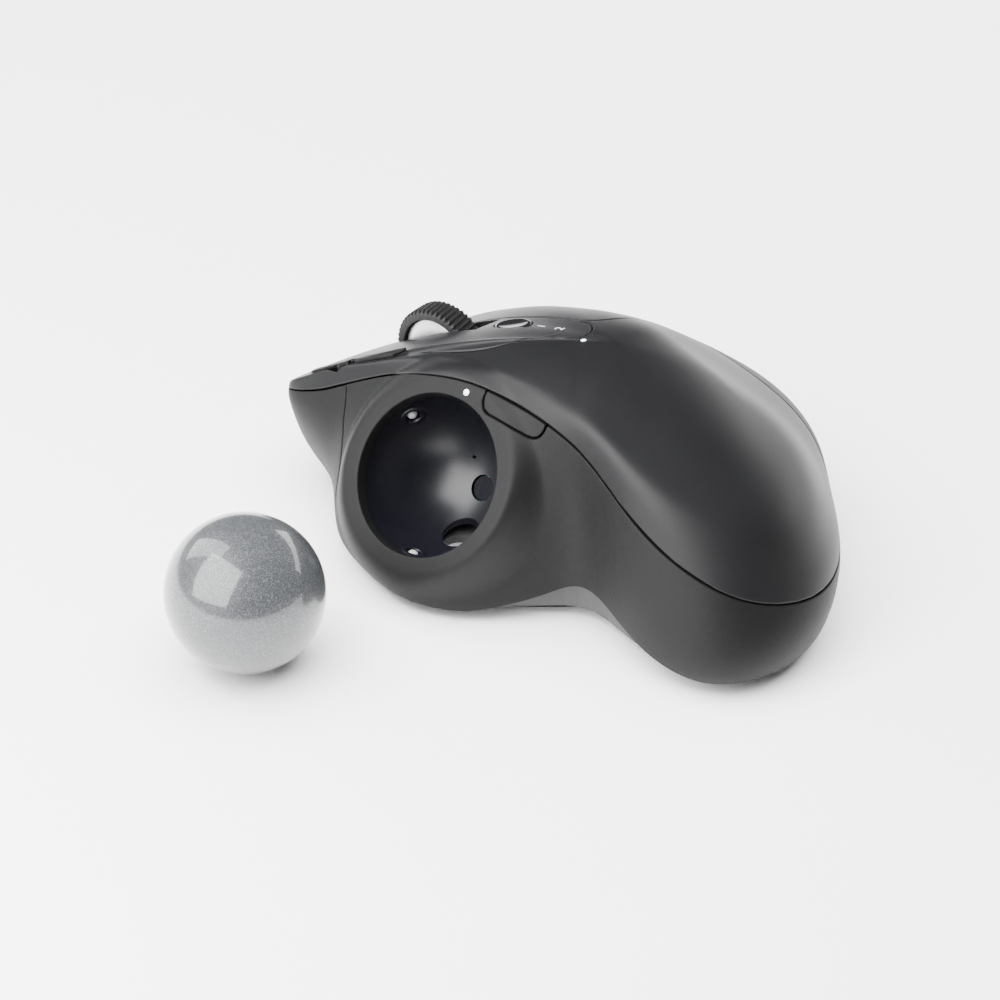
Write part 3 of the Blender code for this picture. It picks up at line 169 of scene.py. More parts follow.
class Graph:
    """Builds the node material of one finish."""

    def __init__(self, finish: Finish) -> None:
        """Makes the material and its nodes.

        Args:
            finish: the finish to build.
        """
        self.finish = finish
        self.material = bpy.data.materials.new(finish.slot + "_finish")
        self.material.use_nodes = True
        self.tree = self.material.node_tree
        self.tree.nodes.clear()
        self.place = Wire(self, self.node("ShaderNodeTexCoord", {}, {}).outputs["Object"])
        self.surface()

    def node(self, kind: str, settings: dict, inputs: dict) -> bpy.types.Node:
        """A node of one type.

        Args:
            kind: the node's type.
            settings: properties set before its sockets are read.
            inputs: values or wires by socket name or number.

        Returns:
            The new node.
        """
        made = self.tree.nodes.new(kind)
        for key, value in settings.items():
            setattr(made, key, value)
        for key, value in inputs.items():
            if isinstance(value, Wire):
                self.tree.links.new(value.socket, made.inputs[key])
            else:
                made.inputs[key].default_value = value
        return made

    def noise(self, size: float, detail: float = 2.0, place: Optional[Wire] = None) -> Wire:
        """Fractal noise.

        Args:
            size: the size of its features in millimetres.
            detail: how many finer layers it has.
            place: coordinates to read, if not the object's own.

        Returns:
            The noise, from 0 to 1.
        """
        values = {"Vector": place or self.place, "Scale": 1.0 / (size * MM)}
        values.update({"Detail": detail, "Roughness": 0.55})
        return Wire(self, self.node("ShaderNodeTexNoise", {}, values).outputs[0])

    def cells(self, size: float, output: str) -> Wire:
        """Voronoi cells of a size in millimetres."""
        values = {"Vector": self.place, "Scale": 1.0 / (size * MM)}
        return Wire(self, self.node("ShaderNodeTexVoronoi", {}, values).outputs[output])

    def stretched(self, scale: Colour) -> Wire:
        """The object's coordinates stretched along the axes."""
        made = self.node("ShaderNodeMapping", {}, {"Vector": self.place, "Scale": scale})
        return Wire(self, made.outputs[0])

    def blend(self, share: Wire, low: Colour, high: Colour) -> Wire:
        """A colour between two, by a share from 0 to 1."""
        made = self.node("ShaderNodeMix", {"data_type": "RGBA"}, {0: share, 6: (*low, 1.0), 7: (*high, 1.0)})
        return Wire(self, made.outputs[2])

    def shade(self, factor: float) -> Colour:
        """The finish's colour, brighter or darker by a factor."""
        return tuple(min(1.0, part * factor) for part in self.finish.colour)

    def layers(self) -> tuple[Wire, Wire, Optional[Wire]]:
        """Colour, roughness and height of the finish's texture.

        Returns:
            The three wires; height is None where the surface has none.
        """
        finish = self.finish
        broad = self.noise(14.0, 3.0)
        fine = self.noise(finish.size)
        dark, pale = self.shade(1 - finish.mottle), self.shade(1 + finish.mottle)
        base = self.blend(fine * 0.6 + broad * 0.4, dark, pale)
        rough = (broad - 0.5) * 0.08 + (fine - 0.5) * 0.10 + finish.roughness
        if finish.texture is Texture.SPARK:
            pits = self.cells(finish.size, "Distance")
            return base, rough, pits * 0.7 + fine * 0.6
        if finish.texture is Texture.BRUSHED:
            lines = self.noise(finish.size, 2.0, self.stretched((0.05, 1.0, 1.0)))
            return base, (lines - 0.5) * 0.22 + finish.roughness, lines
        if finish.texture is Texture.FLAKE:
            sparkle = self.cells(finish.size, "Color")
            level = Wire(self, self.node("ShaderNodeSeparateColor", {}, {0: sparkle}).outputs[0])
            bright = level**5.0
            colour = self.blend(bright * 0.9 + broad * 0.06, self.shade(0.80), self.shade(3.4))
            return colour, finish.roughness - level * 0.10, None
        if finish.texture is Texture.BOARD:
            tracks = self.cells(finish.size, "Distance").above(0.42)
            colour = self.blend(tracks, finish.colour, (0.05, 0.16, 0.07))
            return colour, rough, tracks * 0.5 + fine * 0.2
        return base, rough, fine

    def surface(self) -> None:
        """The shader of the finish and the material's output."""
        finish = self.finish
        colour, rough, height = self.layers()
        values = {"Base Color": colour, "Roughness": rough, "Metallic": finish.metallic}
        values["Specular IOR Level"] = finish.specular
        if finish.coat:
            values.update({"Coat Weight": finish.coat, "Coat Roughness": 0.04})
        if finish.glow:
            values.update({"Emission Color": (*finish.colour, 1.0), "Emission Strength": finish.glow})
        if height is not None and finish.depth:
            relief = {"Strength": 0.7, "Distance": finish.depth * MM, "Height": height}
            bump = self.node("ShaderNodeBump", {}, relief)
            values["Normal"] = Wire(self, bump.outputs[0])
        shader = self.node("ShaderNodeBsdfPrincipled", {}, values)
        self.node("ShaderNodeOutputMaterial", {}, {"Surface": Wire(self, shader.outputs[0])})


class Paints:
    """Keeps one material for each finish."""

    def __init__(self) -> None:
        """Starts with no material made."""
        self.made: dict[str, bpy.types.Material] = {}

    def get(self, slot: str) -> bpy.types.Material:
        """The material of a slot, made when it is first asked for.

        Args:
            slot: the finish's slot.

        Returns:
            Its material.
        """
        if slot not in self.made:
            self.made[slot] = Graph(FINISHES[slot]).material
        return self.made[slot]


PAINTS = Paints()


# ---------------------------------------------------------------- meshes


def grid_faces(index: Array) -> Array:
    """Four-sided faces of a grid of vertex numbers."""
    corners = (index[:-1, :-1], index[1:, :-1], index[1:, 1:], index[:-1, 1:])
    return np.stack(corners, -1).reshape(-1, 4)


def numbered(rows: int, columns: int) -> Array:
    """Vertex numbers of a grid, row by row."""
    return np.arange(rows * columns).reshape(rows, columns)


def closed(index: Array) -> Array:
    """A grid of vertex numbers whose rows are closed into rings."""
    return np.concatenate([index, index[:, :1]], 1)


@dataclass
class Piece:
    """Where a finished piece belongs: its body, the nodes that it stands for and its finish."""

    name: str
    body: str
    slot: str
    nodes: tuple[str, ...] = ()
    sharp: float = 40.0

    def dress(self, obj: bpy.types.Object) -> bpy.types.Object:
        """Shade, finish and hang the piece on its body.

        Args:
            obj: the piece's object.

        Returns:
            The same object.
        """
        mesh = obj.data
        mesh.materials.clear()
        mesh.materials.append(PAINTS.get(self.slot))
        mesh.shade_smooth()
        mesh.set_sharp_from_angle(angle=math.radians(self.sharp))
        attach(obj, self.body)
        if self.nodes:
            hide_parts(*self.nodes)
        LOG.info("%s: %d faces on %s", self.name, len(mesh.polygons), self.body)
        return obj


def linked(name: str, data: bpy.types.ID) -> bpy.types.Object:
    """A new object of the scene that shows some data.

    Args:
        name: the object's name.
        data: its mesh, curve, camera or light.

    Returns:
        The object.
    """
    obj = bpy.data.objects.new(name, data)
    bpy.context.scene.collection.objects.link(obj)
    return obj


def evaluated(obj: bpy.types.Object) -> bpy.types.Mesh:
    """A new mesh of an object as its modifiers leave it."""
    bpy.context.view_layer.update()
    return bpy.data.meshes.new_from_object(obj.evaluated_get(bpy.context.evaluated_depsgraph_get()))


def posed(place: Array, columns: Array) -> Matrix:
    """Matrix of an object at a point in millimetres, whose axes are the given columns."""
    return Matrix.Translation(Vector((place * MM).tolist())) @ Matrix(columns.tolist()).to_4x4()


def solid(name: str, points: Array, faces: Array) -> bpy.types.Object:
    """An object from points in millimetres and four-sided faces, turned outwards, with its poles closed.

    Args:
        name: the object's name.
        points: places in millimetres.
        faces: vertex numbers, four to a face.

    Returns:
        The object, in the scene.
    """
    mesh = bpy.data.meshes.new(name)
    mesh.from_pydata((points * MM).tolist(), [], faces.tolist())
    bm = bmesh.new()
    bm.from_mesh(mesh)
    bmesh.ops.remove_doubles(bm, verts=bm.verts, dist=1e-8)
    bmesh.ops.dissolve_degenerate(bm, edges=bm.edges, dist=1e-9)
    bmesh.ops.recalc_face_normals(bm, faces=bm.faces)
    if bm.calc_volume(signed=True) < 0:
        bmesh.ops.reverse_faces(bm, faces=bm.faces)
    bm.to_mesh(mesh)
    bm.free()
    return linked(name, mesh)


def axes(direction: Array, turn: float = 0.0) -> Array:
    """Rows of a frame whose third axis runs along a direction, turned about it by an angle.

    Args:
        direction: the third axis.
        turn: angle about it, in radians.

    Returns:
        Three unit rows.
    """
    third = unit(np.asarray(direction, float))
    first = unit(np.cross((0.0, 1.0, 0.0) if abs(third[1]) < 0.9 else (1.0, 0.0, 0.0), third))
    second = np.cross(third, first)
    turned = math.cos(turn) * first + math.sin(turn) * second
    return np.stack([turned, np.cross(third, turned), third])


def lathe(
    name: str, profile: Sequence[tuple], centre: Array, axis: Array, steps: int = 128
) -> bpy.types.Object:
    """A profile of (radius, height) points, carried round an axis through a centre.

    Each point of the profile becomes a ring; a profile that starts and ends on the axis closes there, and any
    other is joined end to start.

    Args:
        name: the object's name.
        profile: points of the outline.
        centre: the origin of its heights.
        axis: the axis turned about.
        steps: points round each ring.

    Returns:
        The solid.
    """
    outline = np.array(profile, float)
    angle = np.linspace(0, 2 * math.pi, steps, endpoint=False)
    local = np.stack(
        [
            outline[:, :1] * np.cos(angle),
            outline[:, :1] * np.sin(angle),
            np.broadcast_to(outline[:, 1:], (len(outline), steps)),
        ],
        -1,
    )
    points = (local @ axes(axis)).reshape(-1, 3) + centre
    index = closed(numbered(len(outline), steps))
    if outline[0, 0] > 0 or outline[-1, 0] > 0:
        index = np.concatenate([index, index[:1]])
    return solid(name, points, grid_faces(index))


def arc(centre: tuple, radius: float, start: float, end: float, count: int = 7) -> list[tuple]:
    """Points of an arc in a profile, by its centre, radius and end angles in degrees."""
    angles = np.radians(np.linspace(start, end, count))
    return [(centre[0] + radius * math.cos(a), centre[1] + radius * math.sin(a)) for a in angles]


def rod(
    name: str, centre: Array, axis: Array, radius: float, length: float, steps: int = 64
) -> bpy.types.Object:
    """A plain round cutter along an axis.

    Args:
        name: the object's name.
        centre: its middle, in millimetres.
        axis: the way it runs.
        radius: its radius.
        length: its length.
        steps: points round it.

    Returns:
        The solid.
    """
    half = length / 2
    return lathe(name, [(0, -half), (radius, -half), (radius, half), (0, half)], centre, axis, steps)


def block(name: str, low: Sequence[float], high: Sequence[float]) -> bpy.types.Object:
    """A plain upright cutter between two corners.

    Args:
        name: the object's name.
        low: its least corner, in millimetres.
        high: its greatest corner.

    Returns:
        The solid.
    """
    low, high = np.asarray(low, float), np.asarray(high, float)
    signs = np.array([(0, 0), (1, 0), (1, 1), (0, 1)])
    ring = np.concatenate([signs, np.zeros((4, 1))], 1)
    points = np.concatenate([low + ring * (high - low), low + (ring + [0, 0, 1]) * (high - low)])
    walls = grid_faces(closed(numbered(2, 4)))
    return solid(name, points, np.concatenate([walls, [(3, 2, 1, 0)], [(4, 5, 6, 7)]]))


def cut(obj: bpy.types.Object, *cutters: bpy.types.Object) -> None:
    """Take the cutters out of a piece, and remove them.

    Args:
        obj: the piece.
        cutters: solids to take out, one after another.
    """
    for cutter in cutters:
        change = obj.modifiers.new("cut", "BOOLEAN")
        change.operation = "DIFFERENCE"
        change.solver = "MANIFOLD"
        change.object = cutter
        mesh = evaluated(obj)
        obj.modifiers.clear()
        obj.data = mesh
        bpy.data.objects.remove(cutter)


# ---------------------------------------------------------------- the skin


@dataclass
class Skin:
    """The body's outer surface: a cubic spline round the body through stations, and a B-spline down each."""

    wall: float = 2.0
    rings: int = 8
    pole: tuple = (0.0, -4.0, 51.4)
    mouth: tuple = (-36.3, 18.1, 26.7)
    mouth_normal: tuple = (-0.8105, 0.0200, 0.5854)
    mouth_radius: float = 17.6
    core: tuple = ((-6.0, -36.0), (-8.0, 34.0))
    # Where the skin turns from level to upright and where its wall thins, as a reach and a span of reach
    turning: tuple = (0.15, 0.47)
    thinning: tuple = (0.26, 0.14)
    thinned: float = 1.1
    # How far out from the mouth's edge the skin lies on its plane, and how far out it leaves it
    mouth_flat: float = 3.2
    mouth_blend: float = 9.0
    mouth_height: float = 12.0
    # Crest, widest and foot point of each station, and the roundness above and below its crest
    stations: tuple = (
        ((26, 4, 39.5), (50, 6, 20), (46, 6, 16), 10, 9),
        ((26, 20, 36.5), (48.5, 25, 19), (43, 24, 15), 10, 8),
        ((25, 36, 31), (39.5, 44, 18), (35, 41, 12), 9, 7),
        ((18, 49, 28), (25, 57, 16.5), (22, 52, 7.5), 5, 5),
        ((4, 58, 24.5), (6, 62.5, 16), (5, 56, 4.5), 2.5, 3),
        ((-10, 64, 24), (-11, 65.5, 16.5), (-10, 58, 4), 2.5, 3),
        ((-25, 66.8, 24.5), (-26.5, 66.5, 19), (-23, 60, 6), 2, 3),
        ((-23.5, 60.5, 28.5), (-29.5, 60, 18), (-26, 55, 6), 2.5, 4),
        ((-22, 52, 33), (-35, 49, 13.5), (-31, 46, 5), 2.5, 4),
        ((-20.5, 40, 39), (-44.5, 39, 11), (-41, 37.5, 4), 3, 4),
        ((-20, 28, 43), (-49.5, 26, 9.5), (-46.5, 25, 3), 3, 4),
        ((-20, 15, 46.2), (-50.5, 13, 8.5), (-47.5, 12.5, 2), 3, 4),
        ((-21, 3, 47.3), (-45, 1.5, 7), (-43, 1.5, 1), 3.5, 5),
        ((-22, -8, 46.5), (-35, -10, 7), (-34, -10.5, 1), 4, 6),
        ((-23.5, -20, 44), (-30.5, -24, 7), (-29, -24, 1), 6, 8),
        ((-24.5, -34, 39), (-35, -41, 8), (-32, -39, 1.5), 9, 10),
        ((-21, -47, 35), (-33.5, -58, 8), (-28, -52, 1.5), 11, 11),
        ((-11, -54.5, 33.5), (-17, -68, 11), (-12, -60, 1.5), 12, 11),
        ((2, -53, 33), (4, -63, 15), (3, -56, 3), 12, 11),
        ((15, -42, 34), (22.5, -47.5, 18), (20, -42, 7), 12, 11),
        ((22, -25, 35.5), (39, -32, 19.5), (33, -28, 12), 11, 10),
        ((25, -9, 38), (48.5, -14, 20), (42, -12, 15.5), 10, 9),
    )
    # Seams round the body, as their reach down the skin at angles in degrees
    rim_seam: tuple = (
        (45, 0.50), (70, 0.43), (90, 0.41), (100, 0.42), (106, 0.48), (112, 0.58), (119, 0.57), (128, 0.54),
        (141, 0.52), (153, 0.51), (165, 0.515), (181, 0.52), (207, 0.55), (224, 0.575), (235, 0.60),
        (247, 0.64), (265, 0.72), (285, 0.75), (305, 0.73), (330, 0.68), (355, 0.62), (380, 0.58),
    )  # fmt: skip
    lower_edge: tuple = (
        (45, 0.98), (100, 0.98), (150, 0.98), (160, 0.96), (170, 0.94), (181, 0.89), (191, 0.855),
        (206, 0.81), (214, 0.81), (225, 0.86), (236, 0.93), (250, 0.98), (330, 0.98), (380, 0.98),
    )  # fmt: skip
    knots: Array = field(init=False)
    net: Array = field(init=False)
    angles: Array = field(init=False)
    table: tuple[Array, Array] = field(init=False)

    def __post_init__(self) -> None:
        """Works out the control net and the table of lengths down the skin."""
        inner = np.arange(1, self.rings - 3) / (self.rings - 3)
        self.knots = np.concatenate([np.zeros(4), inner, np.ones(4)])
        self.net, self.angles = self.control_net()
        reaches = np.linspace(0.0, 1.0, 201)
        turns, grid = np.meshgrid(self.angles, reaches, indexing="ij")
        steps = np.linalg.norm(np.diff(self.raw(turns, grid), axis=1), axis=-1).mean(0)
        covered = np.concatenate([[0.0], np.cumsum(steps)])
        self.table = (reaches, covered / covered[-1])

    @property
    def normal(self) -> Array:
        """Unit vector out of the ball's mouth."""
        return unit(np.array(self.mouth_normal))

    def control_net(self) -> tuple[Array, Array]:
        """Control points, station by station and ring by ring, and the stations' angles round the pole.

        Returns:
            The net and the angles in radians.
        """
        pole = np.array(self.pole)
        crest, widest, foot = (np.array([s[k] for s in self.stations], float) for k in range(3))
        above, below = (np.array([s[k] for s in self.stations], float)[:, None] for k in (3, 4))
        centre = np.tile(pole, (len(crest), 1))
        inner = centre + 0.42 * (crest - centre)
        inner[:, 2] = pole[2] - 0.13 * (pole[2] - crest[:, 2])
        low = 0.45 * widest + 0.55 * foot
        low[:, 2] = foot[:, 2] + 0.12 * (widest[:, 2] - foot[:, 2])
        upper = crest + above * unit(inner - crest)
        side = crest + below * unit(widest - crest)
        net = np.stack([centre, inner, upper, crest, side, widest, low, foot], 1)
        return net, np.unwrap(np.arctan2(widest[:, 1] - pole[1], widest[:, 0] - pole[0]))

    @staticmethod
    def periodic(knots: Array, values: Array, at: Array) -> Array:
        """Cubic spline through values at knots round a full turn, read at angles in radians.

        Args:
            knots: angles in radians, rising.
            values: a row for each knot.
            at: angles to read.

        Returns:
            A row for each angle.
        """
        count = len(knots)
        steps = np.diff(np.append(knots, knots[0] + 2 * math.pi))
        before, after = np.roll(steps, 1), steps
        system = np.diag(2 * (before + after))
        rows = np.arange(count)
        system[rows, rows - 1] += before
        system[rows, (rows + 1) % count] += after
        ahead = (np.roll(values, -1, 0) - values) / after[:, None]
        bend = np.linalg.solve(system, 6 * (ahead - np.roll(ahead, 1, 0)))
        wrapped = (at - knots[0]) % (2 * math.pi) + knots[0]
        i = np.searchsorted(knots, wrapped, side="right") - 1
        j = (i + 1) % count
        width = steps[i][:, None]
        a = (wrapped - knots[i])[:, None]
        b = width - a
        cubic = (bend[i] * b**3 + bend[j] * a**3) / (6 * width)
        start = values[i] / width - bend[i] * width / 6
        end = values[j] / width - bend[j] * width / 6
        return cubic + start * b + end * a

    def weights(self, reach: Array) -> Array:
        """Clamped cubic B-spline weights of the rings, for reaches from 0 at the pole to 1 at the foot.

        Args:
            reach: reaches down the skin.

        Returns:
            A row of weights for each reach.
        """
        reach = np.clip(reach, 0.0, 1.0 - 1e-9)
        knots = self.knots
        level = [((reach >= a) & (reach < b)).astype(float) for a, b in zip(knots, knots[1:])]
        for degree in range(1, 4):
            raised = []
            for i in range(len(level) - 1):
                total = np.zeros_like(reach)
                first, second = knots[i : i + 2]
                near, far = knots[i + degree : i + degree + 2]
                if near > first:
                    total += (reach - first) / (near - first) * level[i]
                if far > second:
                    total += (far - reach) / (far - second) * level[i + 1]
                raised.append(total)
            level = raised
        return np.stack(level, -1)

    def raw(self, turns: Array, reaches: Array) -> Array:
        """Points of the net's surface at angles round the pole and reaches down from it.

        Args:
            turns: angles in radians.
            reaches: reaches of the same shape.

        Returns:
            Points in millimetres.
        """
        values = self.net.reshape(len(self.net), -1)
        rings = self.periodic(self.angles, values, turns.ravel()).reshape(-1, self.rings, 3)
        points = np.einsum("nk,nkd->nd", self.weights(reaches.ravel()), rings)
        return points.reshape(turns.shape + (3,))

    def outward(self, points: Array, reaches: Array) -> Array:
        """Directions out of the body: upwards over the top, turning level towards the sides.

        Args:
            points: points of the skin.
            reaches: their reaches.

        Returns:
            Unit vectors.
        """
        share = np.clip((reaches - self.turning[0]) / self.turning[1], 0.0, 1.0)
        tilt = 0.5 * math.pi * share * share * (3 - 2 * share)
        ends = np.array(self.core)
        run = ends[1] - ends[0]
        along = np.clip((points[..., :2] - ends[0]) @ run / (run @ run), 0.0, 1.0)
        level = unit(points[..., :2] - ends[0] - along[..., None] * run)
        return np.concatenate([level * np.sin(tilt)[..., None], np.cos(tilt)[..., None]], -1)

    def at(self, flat: Array, inset: Union[float, Array] = 0.0) -> Array:
        """Points of the skin, or of the surface set in from it, at flat coordinates.

        Near the ball's mouth the skin eases onto the mouth's plane.

        Args:
            flat: flat coordinates.
            inset: depth under the skin in millimetres.

        Returns:
            Points in millimetres.
        """
        turns, reaches = self.polar(flat)
        points = self.raw(turns, reaches)
        depth = np.broadcast_to(inset, reaches.shape)
        points = points - depth[..., None] * self.outward(points, reaches)
        offset = points - np.array(self.mouth)
        height = offset @ self.normal
        radius = np.linalg.norm(offset - height[..., None] * self.normal, axis=-1)
        start, end = self.mouth_radius + self.mouth_flat, self.mouth_radius + self.mouth_blend
        ease = np.clip((end - radius) / (end - start), 0.0, 1.0)
        ease = ease * ease * (3 - 2 * ease) * (np.abs(height) < self.mouth_height)
        return points - (ease * (height + depth))[..., None] * self.normal

    def flat(self, turns: Array, reaches: Array) -> Array:
        """Flat coordinates, in which the pole is the origin."""
        radius = np.interp(reaches, *self.table)
        return np.stack([radius * np.cos(turns), radius * np.sin(turns)], -1)

    def polar(self, flat: Array) -> tuple[Array, Array]:
        """Angles and reaches of flat coordinates."""
        radius = np.hypot(flat[..., 0], flat[..., 1])
        return np.arctan2(flat[..., 1], flat[..., 0]), np.interp(radius, self.table[1], self.table[0])

    def slopes(self, flat: Array) -> tuple[Array, Array, Array]:
        """The skin's change along either flat coordinate, and its outward normal.

        Args:
            flat: flat coordinates.

        Returns:
            The two changes and the unit normal.
        """
        step = 1e-3
        by_u = (self.at(flat + [step, 0.0]) - self.at(flat - [step, 0.0])) / (2 * step)
        by_v = (self.at(flat + [0.0, step]) - self.at(flat - [0.0, step])) / (2 * step)
        return by_u, by_v, unit(np.cross(by_u, by_v))

    def locate(self, plan: Sequence) -> Array:
        """Flat coordinates of the skin's points above plan points, by Newton steps.

        Args:
            plan: plan points in millimetres.

        Returns:
            Flat coordinates.
        """
        target = np.array(plan, float)
        around, down = np.linspace(-math.pi, math.pi, 91), np.linspace(0.02, 0.5, 25)
        start = self.flat(*np.meshgrid(around, down, indexing="ij")).reshape(-1, 2)
        known = self.at(start)[:, :2]
        spot = start[np.linalg.norm(target[:, None] - known, axis=-1).argmin(1)]
        for _ in range(12):
            by_u, by_v, _ = self.slopes(spot)
            system = np.stack([by_u[:, :2], by_v[:, :2]], -1)
            change = np.linalg.solve(system, (target - self.at(spot)[:, :2])[..., None])[..., 0]
            spot = spot + np.clip(change, -0.05, 0.05)
        return spot

    def reach(self, seam: Sequence, turns: Array) -> Array:
        """Reach of a seam at angles in radians.

        Args:
            seam: rows of angle in degrees and reach.
            turns: angles in radians.

        Returns:
            A reach for each angle.
        """
        knots = np.radians([row[0] for row in seam])
        values = np.array([[row[1]] for row in seam])
        return self.periodic(knots, values, turns.ravel()).reshape(turns.shape)

    def rim(self, start: float, end: float, lift: float = 0.0, count: int = 200) -> Array:
        """Flat coordinates along the rim seam between two angles in degrees, lifted towards the pole."""
        turns = np.radians(np.linspace(start, end, count))
        return self.flat(turns, self.reach(self.rim_seam, turns) - lift)

    def foot(self, start: float, end: float, count: int = 200) -> Array:
        """Flat coordinates along the lower edge between two angles in degrees."""
        turns = np.radians(np.linspace(start, end, count))
        return self.flat(turns, self.reach(self.lower_edge, turns))

    def lip_wall(self, reaches: Array) -> Array:
        """Wall of the top pieces, which thins towards the lip."""
        share = np.clip((reaches - self.thinning[0]) / self.thinning[1], 0.0, 1.0)
        return self.wall - self.thinned * share * share * (3 - 2 * share)


def smooth(points: Array, steps: int = 16) -> Array:
    """Catmull-Rom curve through points: cubic spans that meet with the same slope.

    Args:
        points: places to pass through.
        steps: points to a span.

    Returns:
        The curve.
    """
    padded = np.concatenate([2 * points[:1] - points[1:2], points, 2 * points[-1:] - points[-2:-1]])
    a, b, c, d = (padded[k : len(padded) - 3 + k][:, None] for k in range(4))
    t = np.linspace(0.0, 1.0, steps, endpoint=False)[None, :, None]
    spans = b + 0.5 * t * (c - a + t * (2 * a - 5 * b + 4 * c - d + t * (3 * (b - c) + d - a)))
    return np.concatenate([spans.reshape(-1, points.shape[1]), points[-1:]])


def straight(start: Array, end: Array, count: int = 40) -> Array:
    """Evenly spaced points from one point to another."""
    share = np.linspace(0.0, 1.0, count)[:, None]
    return (1 - share) * np.asarray(start) + share * np.asarray(end)


def joined(*curves: Array) -> Array:
    """Curves laid end to end, without repeated points.

    Args:
        curves: curves head to tail.

    Returns:
        One curve.
    """
    points = np.concatenate(curves)
    step = np.linalg.norm(np.diff(points, axis=0), axis=1)
    return points[np.concatenate([[True], step > SAME])]


def shares_of(count: int, edge: float = 0.12) -> Array:
    """Shares from 0 to 1 in even steps, with a close pair at either end that holds the edge's shape."""
    even = np.linspace(0.0, 1.0, count)
    return np.concatenate([[0.0, edge / count], even[1:-1], [1 - edge / count, 1.0]])


def run_of(points: Array) -> Array:
    """Length covered along a curve at each of its points."""
    return np.concatenate([[0.0], np.cumsum(np.linalg.norm(np.diff(points, axis=0), axis=1))])


def resample(curve: Array, shares: Array) -> Array:
    """Points of a curve at shares of its length."""
    run = run_of(curve)
    return np.stack([np.interp(shares * run[-1], run, curve[:, k]) for k in range(curve.shape[1])], -1)


def coons(south: Array, north: Array, west: Array, east: Array, s: Array, t: Array) -> Array:
    """Coons patch over four curves: two ruled surfaces, less the bilinear one they share.

    Args:
        south: first curve along s.
        north: second curve along s.
        west: first curve along t.
        east: second curve along t.
        s: shares along south and north.
        t: shares along west and east.

    Returns:
        Points of the patch, by s and t.
    """
    s, t = s[:, None, None], t[None, :, None]
    ruled = (1 - t) * south[:, None] + t * north[:, None] + (1 - s) * west[None] + s * east[None]
    shared = (1 - s) * (1 - t) * south[0] + s * (1 - t) * south[-1] + (1 - s) * t * north[0]
    return ruled - shared - s * t * north[-1]


def matched(parts: Sequence[tuple[Array, float, float]]) -> tuple[Array, Array]:
    """Curves laid end to end, and an angle at each point that grows evenly along each curve.

    Args:
        parts: each curve with its first and last angle in degrees.

    Returns:
        The points and their angles in radians.
    """
    points = np.concatenate([part for part, _, _ in parts])
    angles = np.concatenate([start + (end - start) * run_of(p) / run_of(p)[-1] for p, start, end in parts])
    step = np.concatenate([[1.0], np.linalg.norm(np.diff(points, axis=0), axis=1)])
    return points[step > SAME], np.radians(angles[step > SAME])


def paced(curves: tuple[Array, Array], pace: Array, count: int) -> list[Array]:
    """Two matched curves, read again at even steps of a pace that both keep."""
    even = np.linspace(0.0, pace[-1], count)
    return [np.stack([np.interp(even, pace, curve[:, k]) for k in (0, 1)], -1) for curve in curves]


# ---------------------------------------------------------------- moulded panels


